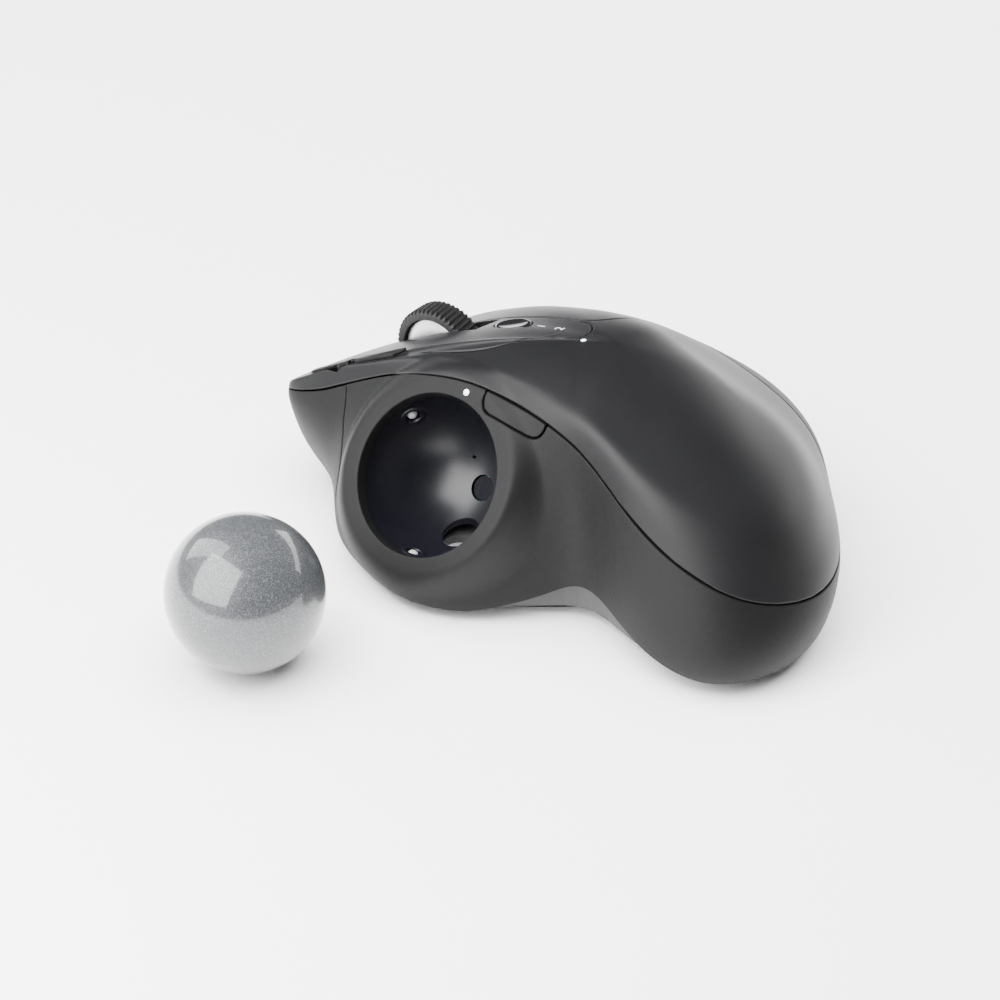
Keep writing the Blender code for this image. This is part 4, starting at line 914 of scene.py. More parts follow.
@dataclass
class Panel:
    """A moulded piece of the skin inside four seams, with rounded edges and a wall of its own.

    The sides are curves in the skin's flat coordinates: south and north run west to east, west and east
    run south to north. Every side is drawn in by half the seam and the edge's radius, a Coons patch fills
    them, and quarter-round rings carry the edge down to the wall.
    """

    skin: Skin
    piece: Piece
    sides: tuple[Array, Array, Array, Array]
    spacing: float = 1.0
    radius: float = 0.35
    seam: float = 0.4
    rise: float = 0.0
    thin: bool = True

    def ring(self, sides: Sequence[Array]) -> list[Array]:
        """The four sides head to tail."""
        south, north, west, east = sides
        return [south, east, north[::-1], west[::-1]]

    def outwards(self, ring: list[Array]) -> list[Array]:
        """Directions in the skin, square to each side and out of the panel, mitred at the corners.

        Args:
            ring: four sides head to tail.

        Returns:
            A vector for each point of each side.
        """
        loop = np.concatenate(ring)
        area = (loop[:, 0] * np.roll(loop[:, 1], -1) - loop[:, 1] * np.roll(loop[:, 0], -1)).sum()
        outs = []
        for side in ring:
            tangent = unit(np.gradient(self.skin.at(side), axis=0))
            outs.append(np.sign(area) * unit(np.cross(tangent, self.skin.slopes(side)[2])))
        for k in range(4):
            a, b = outs[k][-1], outs[(k + 1) % 4][0]
            mitre = (a + b) / max(1 + float(a @ b), 0.4)
            outs[k][-1] = mitre
            outs[(k + 1) % 4][0] = mitre
        return outs

    def drawn_in(self, ring: list[Array], trim: float) -> list[Array]:
        """The ring's curves moved into the panel by a distance measured on the skin.

        The move in flat coordinates is the least-squares answer to the skin's slopes at each point.

        Args:
            ring: four sides head to tail.
            trim: the distance in millimetres.

        Returns:
            The moved sides.
        """
        moved = []
        for side, out in zip(ring, self.outwards(ring)):
            by_u, by_v, _ = self.skin.slopes(side)
            slopes = np.stack([by_u, by_v], -1)
            squares = np.einsum("nki,nkj->nij", slopes, slopes)
            change = np.linalg.solve(squares, np.einsum("nki,nk->ni", slopes, -trim * out)[..., None])[..., 0]
            moved.append((side + change)[self.kept(side, out, trim)])
        return moved

    def kept(self, side: Array, out: Array, trim: float) -> Array:
        """Which points of a moved side stay: those clear of its corners, and its ends.

        Args:
            side: a side's flat coordinates.
            out: its outward directions.
            trim: how far it moved.

        Returns:
            A flag for each point.
        """
        run = run_of(self.skin.at(side))
        clear = 1.3 * trim * max(np.linalg.norm(out[0]), np.linalg.norm(out[-1]))
        keep = (run > clear) & (run < run[-1] - clear)
        keep[[0, -1]] = True
        return keep

    def grid(self) -> Array:
        """Flat coordinates of a Coons patch over the drawn-in sides.

        Returns:
            Flat coordinates by row and column.
        """
        ring = [self.even(side) for side in self.ring(self.sides)]
        south, east, north, west = self.drawn_in(ring, self.seam / 2 + self.radius)
        north, west = north[::-1], west[::-1]
        spans = [run_of(self.skin.at(side))[-1] for side in (south, north, west, east)]
        s = shares_of(max(8, int(max(spans[:2]) / self.spacing)))
        t = shares_of(max(6, int(max(spans[2:]) / self.spacing)))
        south, north = resample(south, s), resample(north, s)
        west, east = resample(west, t), resample(east, t)
        return coons(south, north, west, east, s, t)

    def even(self, side: Array) -> Array:
        """A side with its points about a millimetre apart."""
        length = run_of(self.skin.at(side))[-1]
        return resample(side, np.linspace(0.0, 1.0, max(4, int(length / 0.9))))

    def form(self, grid: Array) -> bpy.types.Object:
        """The closed solid over a grid of flat coordinates, with a quarter-round edge.

        Args:
            grid: flat coordinates by row and column.

        Returns:
            The solid.
        """
        top = self.skin.at(grid, -self.rise)
        reaches = self.skin.polar(grid)[1]
        wall = self.skin.lip_wall(reaches) if self.thin else np.full(reaches.shape, self.skin.wall)
        under = self.skin.at(grid, wall)
        rows, columns = grid.shape[:2]
        index = numbered(rows, columns)
        border = [index[:, 0], index[-1, :], index[::-1, -1], index[0, ::-1]]
        ring = [grid.reshape(-1, 2)[side] for side in border]
        out = np.concatenate([side[:-1] for side in self.outwards(ring)])
        border = np.concatenate([side[:-1] for side in border])
        normal = self.skin.slopes(grid.reshape(-1, 2)[border])[2]
        edge, foot = top.reshape(-1, 3)[border], under.reshape(-1, 3)[border]
        rings = [
            edge + self.radius * (math.sin(a) * out - (1 - math.cos(a)) * normal)
            for a in np.radians((18, 36, 54, 72, 90))
        ]
        rings.append(foot + self.radius * out)
        points = np.concatenate([top.reshape(-1, 3), *rings, under.reshape(-1, 3)])
        count, size = rows * columns, len(border)
        numbers = count + numbered(len(rings), size)
        last = count + len(rings) * size
        rail = np.concatenate([border[None], numbers, last + border[None]])
        cover, walls = grid_faces(index), grid_faces(closed(rail))
        faces = np.concatenate([cover, walls[:, ::-1], last + cover[:, ::-1]])
        return solid(self.piece.name, points, faces)

    def build(self, *cutters: bpy.types.Object) -> bpy.types.Object:
        """The finished panel, less any cutters.

        Args:
            cutters: solids to take out.

        Returns:
            The dressed object.
        """
        obj = self.form(self.grid())
        cut(obj, *cutters)
        return self.piece.dress(obj)


@dataclass
class Covers:
    """The pieces of the skin: palm cover, buttons, keys, strip, bezel and thumb shell."""

    skin: Skin
    lip: float = 0.05
    half: float = 4.9
    spine_end: float = 9.0
    tip: float = 105.5
    side: float = 388.0
    bezel_end: float = 46.0
    left_seam: tuple = (
        (-16.4, 41.4), (-17.0, 38.0), (-17.2, 34.0), (-17.0, 31.0), (-16.4, 27.8), (-15.5, 24.5),
        (-14.2, 21.4), (-12.5, 18.8), (-10.4, 16.6), (-7.8, 14.8), (-4.9, 13.2),
    )  # fmt: skip
    right_seam: tuple = (
        (4.9, 10.4), (6.4, 8.0), (8.4, 6.0), (11.0, 4.7), (14.0, 4.2), (17.6, 4.7), (21.0, 6.0), (26.5, 9.6),
    )  # fmt: skip
    band: tuple = ((-19.1, 41.7), (-23.6, 63.8))
    corner: tuple = (-20.3, 65.0)
    front_seam: tuple = ((0.5, 122.5), (0.67, 126.0), (0.77, 131.0), (1.0, 136.0))
    front_angle: float = 122.8
    key_angle: float = 173.0
    key_drop: float = 0.062
    key_sides: tuple = (-9.2, 9.4)
    palm_columns: int = 620
    shell_columns: int = 600

    def until_lip(self, curve: Array, lift: float) -> Array:
        """A curve of flat coordinates, ended where it meets the rim seam or a line lifted from it.

        Args:
            curve: flat coordinates that start inside the lip.
            lift: how far the line lies above the seam.

        Returns:
            The shortened curve.
        """
        turns, reaches = self.skin.polar(curve)
        over = reaches - (self.skin.reach(self.skin.rim_seam, turns) - lift)
        last = int(np.argmax(over > 0))
        share = -over[last - 1] / (over[last] - over[last - 1])
        end = curve[last - 1] + share * (curve[last] - curve[last - 1])
        return np.concatenate([curve[:last], end[None]])

    def spine_side(self, sign: int, start: float) -> Array:
        """Edge of the spine from a place behind the wheel forward to the lip.

        Args:
            sign: -1 for the left edge, 1 for the right.
            start: where it starts, in millimetres forward.

        Returns:
            Flat coordinates.
        """
        run = np.linspace(start, 59.0, 40)
        plan = np.stack([np.full(40, sign * self.half), run], -1)
        return self.until_lip(smooth(self.skin.locate(plan), 8), self.lip)

    def lip_between(self, start: Array, end: Array) -> Array:
        """The lip from one flat point on it to another."""
        angles = np.degrees(np.unwrap([math.atan2(start[1], start[0]), math.atan2(end[1], end[0])]))
        return self.skin.rim(angles[0], angles[1], self.lip)

    def spine_arc(self) -> Array:
        """Seam round the spine's rear end, from left to right."""
        turns = np.linspace(math.pi, 2 * math.pi, 25)
        return np.stack([self.half * np.cos(turns), self.spine_end + self.half * np.sin(turns)], -1)

    def left_edge(self) -> Array:
        """Seam from the left button's rear corner to the tip at the rim."""
        corner = self.skin.locate([self.left_seam[0], self.corner])
        return joined(straight(*corner), straight(corner[1], self.skin.rim(self.tip, self.tip + 1)[0]))

    def right_edge(self) -> Array:
        """Seam behind the right button and on down to the rim."""
        seam = smooth(self.skin.locate(self.right_seam))
        return joined(seam, straight(seam[-1], self.skin.rim(self.side, self.side + 1)[0], 60))

    def palm(self) -> bpy.types.Object:
        """Soft cover over the hump: ruled between its inner seam and the rim, matched point by point.

        Returns:
            The dressed object.
        """
        skin = self.skin
        tip = skin.rim(self.tip, self.tip + 1)[:1]
        band = skin.locate([self.corner, self.band[1], self.band[0], self.left_seam[0]])
        left = smooth(skin.locate(self.left_seam), 12)
        around = skin.locate(self.spine_arc())
        right = self.right_edge()
        parts = [
            (straight(tip[0], band[0], 10), 106.5, 108.0),
            (straight(band[0], band[1], 8), 108.0, 109.5),
            (straight(band[1], band[2], 40), 109.5, 137.0),
            (straight(band[2], band[3], 8), 137.0, 140.0),
            (left, 140.0, 190.0),
            (straight(left[-1], around[0], 8), 190.0, 196.0),
            (around, 196.0, 303.0),
            (straight(around[-1], right[0], 6), 303.0, 308.0),
            (right, 308.0, self.side + 1.0),
        ]
        inner, turns = matched(parts)
        turns = np.maximum.accumulate(turns)
        outer = skin.flat(turns, skin.reach(skin.rim_seam, turns))
        pace = run_of(skin.at(inner)) + run_of(skin.at(outer))
        inner, outer = paced((inner, outer), pace, self.palm_columns)
        piece = Piece("palm_form", "mouse_body", "soft_touch", ("palm_cover",))
        sides = (inner, outer, straight(inner[0], outer[0], 4), straight(inner[-1], outer[-1], 4))
        return Matched(skin, piece, sides, spacing=1.25).build()

    def buttons(self) -> None:
        """The two main buttons, which end a little above the rim."""
        rear = smooth(self.skin.locate(self.left_seam))
        west = self.until_lip(self.left_edge(), self.lip)
        east = self.spine_side(-1, self.left_seam[-1][1])
        rear[-1] = east[0]
        piece = Piece("left_button_form", "left_button", "button_plastic", ("left_button",))
        Panel(self.skin, piece, (rear, self.lip_between(west[-1], east[-1]), west, east)).build()
        south = self.until_lip(self.right_edge(), self.lip)
        west = self.spine_side(1, self.right_seam[0][1])
        south[0] = west[0]
        bend = self.skin.rim(62.0, 63.0, self.lip)[0]
        north, east = self.lip_between(west[-1], bend), self.lip_between(south[-1], bend)
        piece = Piece("right_button_form", "right_button", "button_plastic", ("right_button",))
        Panel(self.skin, piece, (south, north, west, east)).build()

    def side_keys(self) -> None:
        """The two thin keys beside the left button."""
        inner, outer = (self.left_seam[0], self.corner), self.band
        for name, start, end in (("forward_button", 0.50, 0.93), ("back_button", 0.03, 0.47)):
            places = [
                np.add(line[0], share * np.subtract(line[1], line[0]))
                for line in (outer, inner)
                for share in (start, end)
            ]
            sw, nw, se, ne = self.skin.locate(places)
            piece = Piece(name + "_form", name, "dark_plastic", (name,))
            sides = (straight(sw, se), straight(nw, ne), straight(sw, nw), straight(se, ne))
            Panel(self.skin, piece, sides, 0.5, 0.28, 0.3, rise=0.7).build()

    def spine(self, wheel: Array, slot: Array, recess: bpy.types.Object) -> bpy.types.Object:
        """Strip between the buttons, cut for the wheel and the mode key.

        Args:
            wheel: the wheel's centre.
            slot: half sizes of its slot.
            recess: cutter of the mode key's hole.

        Returns:
            The dressed object.
        """
        arc_line = self.skin.locate(self.spine_arc())
        west, east = self.spine_side(-1, self.spine_end), self.spine_side(1, self.spine_end)
        arc_line[0], arc_line[-1] = west[0], east[0]
        piece = Piece("spine_form", "mouse_body", "button_plastic", ("spine_strip",))
        sides = (smooth(arc_line, 4), self.lip_between(west[-1], east[-1]), west, east)
        panel = Panel(self.skin, piece, sides, 0.6, 0.25, 0.3)
        return panel.build(block("wheel_slot", wheel - slot, wheel + slot), recess)

    def seam_down(self) -> Array:
        """The seam between bezel and thumb shell, from the rim down to the lower edge.

        Returns:
            Flat coordinates.
        """
        table = np.array(self.front_seam)
        top = self.skin.reach(self.skin.rim_seam, np.radians(np.array([self.front_angle])))
        reaches = np.linspace(float(top[0]), self.skin.lower_edge[0][1], 40)
        return self.skin.flat(np.radians(np.interp(reaches, table[:, 0], table[:, 1])), reaches)

    def bezel(self, port: bpy.types.Object) -> bpy.types.Object:
        """Front panel under the buttons, with the charging port's hole.

        Args:
            port: cutter of the port's hole.

        Returns:
            The dressed object.
        """
        skin = self.skin
        east = self.seam_down()
        low = skin.foot(self.bezel_end, self.front_seam[-1][1])
        high = skin.rim(self.bezel_end, self.front_angle)
        piece = Piece("bezel_form", "mouse_body", "dark_plastic", ("front_bezel",))
        sides = (low, high, straight(low[0], high[0]), east[::-1])
        return Panel(skin, piece, sides, 1.1, 0.25, 0.3, thin=False).build(port)

    def key_outline(self) -> tuple[Array, Array, Array]:
        """West, south and east edges of the precision key, down from the rim and up again.

        West and east are near straight, and the lower corners are quarters of a superellipse.

        Returns:
            The three edges in flat coordinates.
        """
        t = np.linspace(0.0, 1.0, 40)
        low = self.key_drop
        across = np.sin(0.5 * math.pi * t) ** 0.75
        inwards = 1 - np.cos(0.5 * math.pi * t) ** 0.75
        left = self.key_angle + self.key_sides[0] + 3.0 * inwards - 0.3 * t
        right = self.key_angle + self.key_sides[1] - 4.6 * inwards - 1.0 * t
        edges = []
        for turn in (left, right):
            angle = np.radians(turn)
            edges.append(self.skin.flat(angle, self.skin.reach(self.skin.rim_seam, angle) + low * across))
        west, east = edges
        ends = np.radians(np.linspace(left[-1], right[-1], 60))
        south = self.skin.flat(ends, self.skin.reach(self.skin.rim_seam, ends) + low)
        return west, south, east

    def precision_key(self) -> bpy.types.Object:
        """Rounded key that hangs from the palm seam beside the ball.

        Returns:
            The dressed object.
        """
        west, south, east = self.key_outline()
        angles = np.degrees([math.atan2(*west[0][::-1]), math.atan2(*east[0][::-1]) % (2 * math.pi)])
        north = self.skin.rim(angles[0] % 360, angles[1] % 360)
        piece = Piece("precision_form", "precision_button", "dark_plastic", ("precision_button",))
        sides = (south, north, west[::-1], east[::-1])
        return Panel(self.skin, piece, sides, 0.5, 0.25, 0.55, thin=False).build()

    def thumb_shell(self, *cutters: bpy.types.Object) -> bpy.types.Object:
        """Shell round the thumb side, rear and right: ruled from its top edge, which dips round the key.

        Args:
            cutters: solids to take out.

        Returns:
            The dressed object.
        """
        skin = self.skin
        start, end = self.front_angle, self.bezel_end + 360.0
        west, south, east = self.key_outline()
        key_start, key_end = (self.key_angle + side for side in self.key_sides)
        parts = [
            (skin.rim(start, key_start, count=120), self.front_seam[-1][1], key_start - 1.0),
            (joined(west, south, east[::-1]), key_start - 1.0, key_end),
            (skin.rim(key_end, end, count=300), key_end, end),
        ]
        top, turns = matched(parts)
        foot = skin.flat(turns, skin.reach(skin.lower_edge, turns))
        pace = run_of(skin.at(top)) + 0.5 * run_of(skin.at(foot))
        top, foot = paced((top, foot), pace, self.shell_columns)
        seam = self.seam_down()
        seam[0], seam[-1] = top[0], foot[0]
        piece = Piece("thumb_shell_form", "mouse_body", "dark_plastic", ("thumb_shell",))
        sides = (top, foot, seam, straight(top[-1], foot[-1]))
        return Matched(skin, piece, sides, 1.0, 0.28, 0.3, thin=False).build(*cutters)


class Matched(Panel):
    """A long panel whose south and north sides are already matched point by point."""

    def kept(self, side: Array, out: Array, trim: float) -> Array:
        """Every matched point stays."""
        return np.ones(len(side), bool)

    def grid(self) -> Array:
        """Coons patch whose long sides keep their own pace.

        Returns:
            Flat coordinates by row and column.
        """
        ring = self.ring(self.sides)
        south, east, north, west = self.drawn_in(ring, self.seam / 2 + self.radius)
        north, west = north[::-1], west[::-1]
        length = np.linalg.norm(self.skin.at(south) - self.skin.at(north), axis=1).max()
        t = shares_of(int(length / self.spacing))
        s = run_of(self.skin.at(south) + self.skin.at(north))
        west, east = resample(west, t), resample(east, t)
        west[0], west[-1], east[0], east[-1] = south[0], north[0], south[-1], north[-1]
        return coons(south, north, west, east, s / s[-1], t)


# ---------------------------------------------------------------- keys, lights and marks


@dataclass
class SmallParts:
    """The mode key, the two lights and the printed numbers."""

    skin: Skin
    mode_place: tuple = (0.0, 24.5)
    mode_half: tuple = (2.7, 5.0)
    slope: float = -22.0

    def oval(self, name: str, profile: Sequence[tuple], steps: int = 96) -> bpy.types.Object:
        """An oval solid: rings of (inset, height) about the mode key's place, tilted with the skin.

        Args:
            name: the object's name.
            profile: rings of size and height.
            steps: points round each ring.

        Returns:
            The solid.
        """
        top = self.skin.at(self.skin.locate([self.mode_place]))[0]
        rings = np.array(profile, float)
        angle = np.linspace(0, 2 * math.pi, steps, endpoint=False)
        scale = rings[:, :1]
        local = np.stack(
            [
                (self.mode_half[0] * np.minimum(scale, 1) + np.maximum(scale - 1, 0)) * np.cos(angle),
                (self.mode_half[1] * np.minimum(scale, 1) + np.maximum(scale - 1, 0)) * np.sin(angle),
                np.broadcast_to(rings[:, 1:], (len(rings), steps)),
            ],
            -1,
        )
        turn = np.array(Matrix.Rotation(math.radians(self.slope), 3, "X"))
        points = (local @ turn.T).reshape(-1, 3) + top
        index = closed(numbered(len(rings), steps))
        return solid(name, points, grid_faces(index))

    def mode_key(self) -> None:
        """Glossy oval key with a domed top and a dished middle."""
        shares = np.linspace(0.0, 1.0, 14)
        dome = [(0.86 * s, 0.10 + 0.16 * s * s) for s in shares]
        turns = np.linspace(0.1, math.pi / 2, 7)
        edge = [(0.86 + 0.14 * math.sin(a), 0.26 - 0.45 * (1 - math.cos(a))) for a in turns]
        obj = self.oval("mode_key_form", dome + edge + [(1.0, -3.3), (0.0, -3.3)])
        Piece("mode_key_form", "mode_button", "gloss_black", ("mode_button",)).dress(obj)

    def recess(self) -> bpy.types.Object:
        """Cutter for the key's oval hole."""
        return self.oval("mode_recess", [(0.0, -6.0), (1.35, -6.0), (1.35, 6.0), (0.0, 6.0)])

    def light(self, name: str, node: str, centre: Array, axis: Array, radius: float) -> None:
        """A small domed light that stands a little proud.

        Args:
            name: the object's name.
            node: the frame's node that it stands for.
            centre: its place in millimetres.
            axis: the way it faces.
            radius: its radius in millimetres.
        """
        profile = [(0.0, -0.6), (radius, -0.6), *arc((0.0, 0.0), radius, 0, 90, 9)]
        profile = [(r, h * 0.3 if h > 0 else h) for r, h in profile]
        obj = lathe(name, profile, centre, axis, 40)
        Piece(name, "mouse_body", "light_pipe", (node,)).dress(obj)

    def numbers(self) -> None:
        """Printed numbers on the spine, laid on the skin."""
        for text, y in (("1", 15.6), ("2", 10.6)):
            curve = bpy.data.curves.new("number_" + text, "FONT")
            curve.body = text
            curve.size = 3.0
            curve.extrude = 0.5
            curve.align_x = "CENTER"
            guide = linked("number_guide", curve)
            mesh = evaluated(guide)
            bpy.data.objects.remove(guide)
            points = np.array([v.co for v in mesh.vertices], float)
            plan = np.stack([points[:, 0], points[:, 1] + y], -1)
            flat = self.skin.locate(plan)
            placed = self.skin.at(flat) + np.where(points[:, 2:] > 0, 0.03, -0.2) * self.skin.slopes(flat)[2]
            mesh.vertices.foreach_set("co", (placed * MM).ravel())
            obj = linked("number_" + text, mesh)
            Piece("number_" + text, "mouse_body", "print").dress(obj)


# ---------------------------------------------------------------- ball and socket


@dataclass
class Socket:
    """The ball's socket: cup, mouth ring, bearings, and the ball on the table."""

    skin: Skin
    seat_depth: float = 3.0
    ball: float = 17.0
    clearance: float = 0.8
    cup_wall: float = 1.4
    bearing: float = 1.25
    gap: float = 0.3
    ring_outer: float = 18.4

    @property
    def seat(self) -> Array:
        """Centre of the seated ball."""
        return np.array(self.skin.mouth) - self.seat_depth * self.skin.normal

    def direction(self, polar: float, turn: float) -> Array:
        """Unit vector from the seat, by degrees from the socket's depth and round its axis from the front.

        Args:
            polar: degrees from the socket's depth.
            turn: degrees round its axis from the front.

        Returns:
            A unit vector.
        """
        normal = self.skin.normal
        forward = unit(np.array([0.0, 1.0, 0.0]) - normal[1] * normal)
        side = np.cross(normal, forward)
        angle, around = math.radians(polar), math.radians(turn)
        level = math.cos(around) * forward + math.sin(around) * side
        return -math.cos(angle) * normal + math.sin(angle) * level

    def bearings(self) -> dict[str, Array]:
        """Directions of the three bearings from the seat."""
        turns = {"front": -33.0, "lower": 87.0, "rear": 207.0}
        return {name: self.direction(74.0, turn) for name, turn in turns.items()}

    def mouth_cutter(self) -> bpy.types.Object:
        """Round hole in the thumb shell that the mouth ring fills."""
        return rod("mouth_cutter", np.array(self.skin.mouth), self.skin.normal, self.ring_outer, 14.0, 128)

    def mouth_ring(self) -> None:
        """Ring with a rounded lip, level with the shell."""
        inner, lip, deep = self.skin.mouth_radius, 0.32, -3.3
        profile = [(self.ring_outer, 0.0), (inner + lip, 0.0), *arc((inner + lip, -lip), lip, 90, 180, 8)[1:]]
        profile += [(inner, deep), (self.ring_outer, deep)]
        obj = lathe("mouth_ring_form", profile, np.array(self.skin.mouth), self.skin.normal, 128)
        Piece("mouth_ring_form", "mouse_body", "dark_plastic").dress(obj)

    def cup(self) -> None:
        """Smooth socket with bores for the bearings, the sensor, a screw well and the ejector."""
        inner = self.ball + self.clearance
        outer = inner + self.cup_wall
        top = self.seat_depth - self.skin.wall - self.gap - 1.3
        profile = []
        for radius, order in ((outer, 1), (inner, -1)):
            angles = np.linspace(0.0, math.acos(-top / radius), 44)[::order]
            profile += [(radius * math.sin(a), -radius * math.cos(a)) for a in angles]
        obj = lathe("cup_form", profile, self.seat, self.skin.normal, 120)
        middle = inner + self.cup_wall / 2
        bore = self.bearing + self.gap
        ways = self.bearings().values()
        cutters = [rod("bore", self.seat + middle * way, way, bore, 6.0, 32) for way in ways]
        sensor = self.direction(3.0, -156.0)
        cutters.append(rod("sensor_bore", self.seat + middle * sensor, sensor, 2.9, 6.0, 40))
        well = self.direction(22.0, -60.0)
        cutters.append(rod("small_well", self.seat + middle * well, well, 0.45, 2.6, 20))
        x, y = self.seat[0] + 0.31 * inner, self.seat[1] - 0.14 * inner
        floor = np.array([x, y, self.seat[2] - inner])
        cutters.append(rod("ejector", floor, np.array([0, 0, 1.0]), 4.0, 12.0, 64))
        cut(obj, *cutters)
        Piece("cup_form", "mouse_body", "cup_plastic", ("ball_cup",)).dress(obj)

    def fittings(self) -> None:
        """Bearing balls, each in a raised collar."""
        inner = self.ball + self.clearance
        for name, way in self.bearings().items():
            centre = self.seat + (self.ball + self.gap + self.bearing) * way
            ball = arc((0.0, 0.0), self.bearing, -90, 90, 25)
            ball[0], ball[-1] = (0.0, -self.bearing), (0.0, self.bearing)
            obj = lathe(name + "_bearing_form", ball, centre, way, 48)
            Piece(name + "_bearing_form", "mouse_body", "bearing_ceramic", (name + "_bearing",)).dress(obj)
            base = self.seat + inner * way
            collar = [(1.65, 0.6), (1.65, -0.25), (1.9, -0.4), (2.5, -0.4), (2.9, -0.15), (3.1, 0.6)]
            obj = lathe(name + "_collar_form", collar, base, way, 64)
            Piece(name + "_collar_form", "mouse_body", "cup_plastic", sharp=60.0).dress(obj)

    def loose_ball(self) -> None:
        """The lacquered ball: rings whose points all lie one radius from its centre."""
        low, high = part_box("ball")
        centre = np.array(low + high) / 2 / MM
        radius = (high.z - low.z) / 2 / MM
        outline = arc((0.0, 0.0), radius, -90, 90, 97)
        outline[0], outline[-1] = (0.0, -radius), (0.0, radius)
        obj = lathe("ball_form", outline, centre, np.array([0, 0, 1.0]), 192)
        Piece("ball_form", "ball", "ball_lacquer", ("ball",)).dress(obj)


# ---------------------------------------------------------------- scroll wheel


@dataclass
class Wheel:
    """Ribbed tread and domed sides of the scroll wheel."""

    ribs: int = 54
    tread_depth: float = 2.2
    gap: float = 0.3
    bore: float = 1.3
    corner: float = 0.9
    groove: float = 0.6
    slant: float = 1.6
    points_per_rib: int = 12

    def place(self) -> tuple[Array, float, float]:
        """Centre, radius and half width, read from the frame."""
        low, high = (np.array(corner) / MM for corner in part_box("wheel_tread"))
        return (low + high) / 2, float(high[2] - low[2]) / 2, float(high[0] - low[0]) / 2

    def tread(self) -> None:
        """Rubber tread: a rounded section carried round the axle, its crown cut by slanting ribs."""
        centre, radius, half = self.place()
        inner = radius - self.tread_depth
        corner = self.corner
        turns = np.radians(np.linspace(180, 90, 7))
        x, r = corner - half, radius - corner
        left = [(x + corner * math.cos(a), r + corner * math.sin(a)) for a in turns]
        flat = [(x, radius) for x in np.linspace(-half + corner, half - corner, 13)[1:-1]]
        right = [(-x, r) for x, r in left[::-1]]
        section = np.array([(-half, inner), *left, *flat, *right, (half, inner)])
        angle = np.linspace(0, 2 * math.pi, self.ribs * self.points_per_rib, endpoint=False)
        x, r = section[:, :1], section[:, 1:]
        phase = self.ribs * angle + self.slant * x / half
        groove = np.clip(0.5 - 1.3 * np.cos(phase), 0.0, 1.0)
        outside = np.clip((r - (radius - corner)) / corner, 0.0, 1.0)
        depth = r - self.groove * groove * outside**0.6
        points = np.stack([np.broadcast_to(x, depth.shape), depth * np.cos(angle), depth * np.sin(angle)], -1)
        index = closed(numbered(*depth.shape))
        index = np.concatenate([index, index[:1]])
        obj = solid("tread_form", points.reshape(-1, 3) + centre, grid_faces(index))
        Piece("tread_form", "wheel", "rubber", ("wheel_tread",), sharp=50.0).dress(obj)

    def rim(self) -> None:
        """Satin rim with gently domed sides and a shallow recess round the bore."""
        centre, radius, half = self.place()
        rim = radius - self.tread_depth - self.gap
        side = [(self.bore, half - 0.5), (2.4, half - 0.5), (2.7, half - 0.15)]
        dome = np.linspace(3.0, rim - 0.15, 14)
        side += [(r, half - 0.02 - 0.9 * ((r - 3.0) / (rim - 3.0)) ** 3) for r in dome]
        side += [(rim, half - 1.1)]
        profile = side + [(r, -h) for r, h in side[::-1]]
        obj = lathe("rim_form", profile, centre, np.array([1.0, 0, 0]), 96)
        Piece("rim_form", "wheel", "wheel_metal", ("wheel_rim",), sharp=30.0).dress(obj)


# ---------------------------------------------------------------- stage


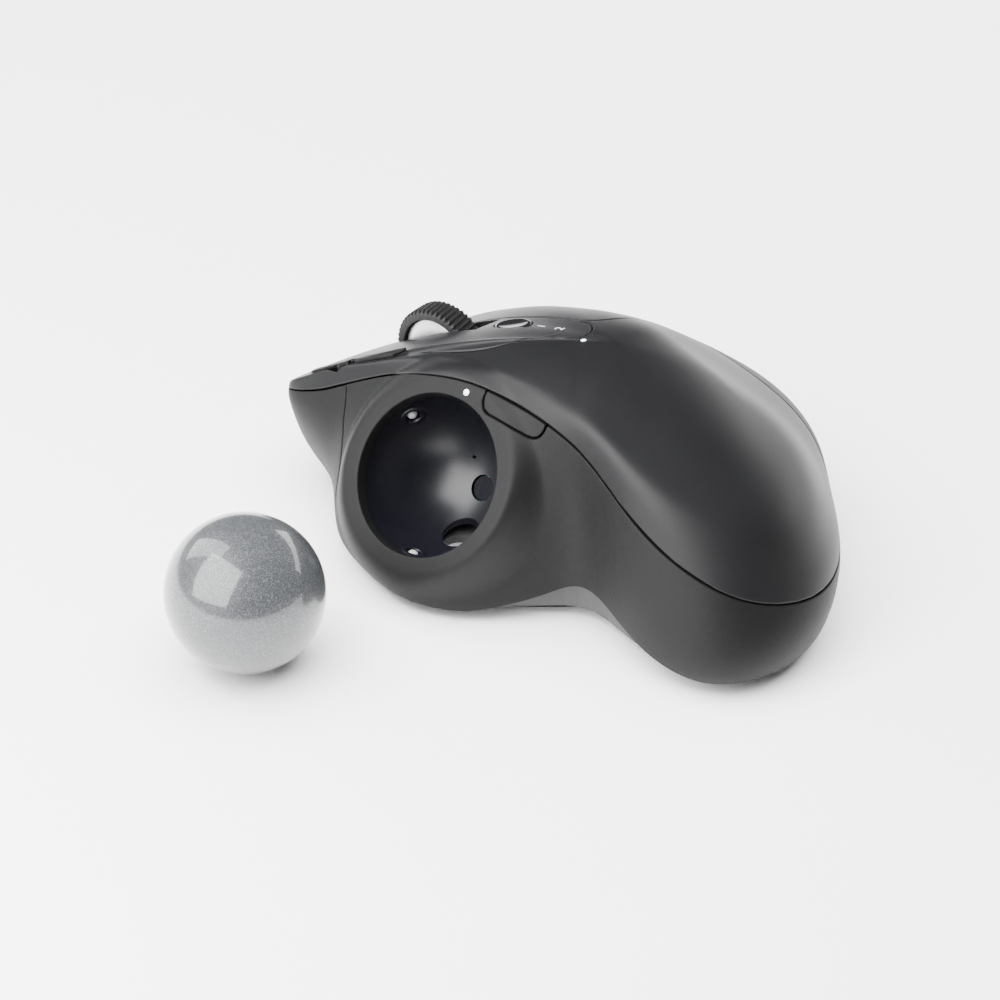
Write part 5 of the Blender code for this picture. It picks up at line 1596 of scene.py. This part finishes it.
@dataclass
class Stage:
    """Floor, soft lights and camera."""

    azimuth: float = -50.0
    elevation: float = 35.0
    distance: float = 1000.0
    aim: tuple = (-20.0, -5.2, 22.0)
    aside: float = 12.712
    lens: float = 169.9

    def view(self) -> tuple[Array, Array, Array]:
        """Right, up and backward directions of the camera.

        Returns:
            The three unit vectors.
        """
        a, e = math.radians(self.azimuth), math.radians(self.elevation)
        back = np.array([math.sin(a) * math.cos(e), -math.cos(a) * math.cos(e), math.sin(e)])
        right = np.array([math.cos(a), math.sin(a), 0.0])
        return right, np.cross(back, right), back

    def camera(self) -> None:
        """Camera with a long lens, aimed a little to one side of the body's middle."""
        right, up, back = self.view()
        place = np.array(self.aim) - self.aside * right + self.distance * back
        data = bpy.data.cameras.new("camera")
        data.lens = self.lens
        data.sensor_width = 36.0
        data.clip_start, data.clip_end = 0.05, 20.0
        obj = linked("camera", data)
        obj.matrix_world = posed(place, np.stack([right, up, back], -1))
        bpy.context.scene.camera = obj

    def light(
        self, name: str, target: Array, way: Array, away: float, size: tuple, power: float, glossy: bool
    ) -> None:
        """A soft rectangular light that faces a target from a direction, by right, up and back shares.

        Args:
            name: the light's name.
            target: the point that it faces.
            way: its direction as right, up and back shares.
            away: its distance in millimetres.
            size: its sides in metres.
            power: its power in watts.
            glossy: whether gloss shows it.
        """
        right, up, back = self.view()
        direction = unit(way[0] * right + way[1] * up + way[2] * back)
        data = bpy.data.lights.new(name, "AREA")
        data.shape = "RECTANGLE"
        data.size, data.size_y = size
        data.energy = power
        obj = linked(name, data)
        obj.matrix_world = posed(target + away * direction, axes(direction).T)
        obj.visible_glossy = glossy
        obj.visible_camera = False

    def floor(self) -> None:
        """Wide pale floor."""
        size = 6000.0
        signs = ((-1, -1), (1, -1), (1, 1), (-1, 1))
        points = np.array([(size * x, size * y, -0.05) for x, y in signs])
        mesh = bpy.data.meshes.new("floor")
        mesh.from_pydata((points * MM).tolist(), [], [(0, 1, 2, 3)])
        mesh.materials.append(PAINTS.get("floor"))
        obj = linked("floor", mesh)

    def build(self) -> None:
        """The whole stage."""
        self.camera()
        self.floor()
        ball = np.array([-82.6, 28.1, 17.0])
        body = np.array([-10.0, 0.0, 25.0])
        self.light("ball_box", ball, np.array([-0.62, 0.28, 0.73]), 300.0, (0.34, 0.34), 4.2, True)
        self.light("flank_box", body, np.array([-0.75, 0.80, 0.05]), 900.0, (0.35, 0.90), 7.0, True)
        self.light("rear_box", body, np.array([0.75, 0.62, -0.35]), 900.0, (0.30, 0.90), 5.0, True)
        self.light("top_wash", body, np.array([0.0, 0.82, 0.57]), 1800.0, (2.4, 2.4), 230.0, False)
        world = bpy.data.worlds.new("studio")
        world.use_nodes = True
        background = world.node_tree.nodes["Background"]
        background.inputs["Color"].default_value = (0.90, 0.93, 1.0, 1.0)
        background.inputs["Strength"].default_value = 0.06
        bpy.context.scene.world = world


# ---------------------------------------------------------------- assembly


def dress_frame(nodes: dict) -> None:
    """Gives every node of the frame that stays its finish, by its slot in the record.

    Args:
        nodes: the frame's objects by name.
    """
    slots = {entry["node"]: entry["material_slot"] for entry in FRAME["record"]["subparts"]}
    for name, obj in nodes.items():
        if obj.hide_render:
            continue
        obj.material_slots[0].material = PAINTS.get(slots[name])
        LOG.info("%s keeps its frame shape as %s", name, slots[name])


def corners(box: tuple) -> list[list[float]]:
    """A box's two corners as plain lists."""
    return [[float(part) for part in corner] for corner in box]


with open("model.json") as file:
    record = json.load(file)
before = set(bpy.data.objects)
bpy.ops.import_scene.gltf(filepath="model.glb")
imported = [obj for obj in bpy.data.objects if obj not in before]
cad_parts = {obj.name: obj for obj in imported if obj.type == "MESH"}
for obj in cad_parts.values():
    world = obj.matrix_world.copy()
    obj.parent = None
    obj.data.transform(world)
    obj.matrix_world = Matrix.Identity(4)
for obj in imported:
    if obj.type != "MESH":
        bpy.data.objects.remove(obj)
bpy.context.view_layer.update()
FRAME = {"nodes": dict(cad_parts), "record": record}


def main() -> None:
    """Builds the sub-assemblies in order."""
    logging.basicConfig(level=logging.INFO, format="%(message)s")
    skin = Skin()
    covers = Covers(skin)
    small = SmallParts(skin)
    socket = Socket(skin)
    wheel = Wheel()
    centre, radius, half = wheel.place()
    slot = np.array([half + 1.15, radius + 0.8, 30.0])
    low, high = (np.array(corner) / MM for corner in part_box("charge_port"))
    covers.palm()
    covers.buttons()
    covers.side_keys()
    covers.spine(centre, slot, small.recess())
    covers.bezel(block("port_hole", low - [0.3, 8.0, 0.3], high + [0.3, 12.0, 0.3]))
    covers.precision_key()
    covers.thumb_shell(socket.mouth_cutter())
    small.mode_key()
    small.numbers()
    thumb = np.array(skin.mouth) + 19.6 * unit(np.array([0.583, -0.077, 0.809]))
    small.light("thumb_light_form", "thumb_light_pipe", thumb, skin.normal, 0.7)
    dot = skin.locate([(-3.0, 2.6)])
    small.light("battery_light_form", "battery_light_pipe", skin.at(dot)[0], skin.slopes(dot)[2][0], 0.6)
    socket.mouth_ring()
    socket.cup()
    socket.fittings()
    socket.loose_ball()
    wheel.tread()
    wheel.rim()
    dress_frame(FRAME["nodes"])
    Stage().build()


if __name__ == "__main__":
    main()
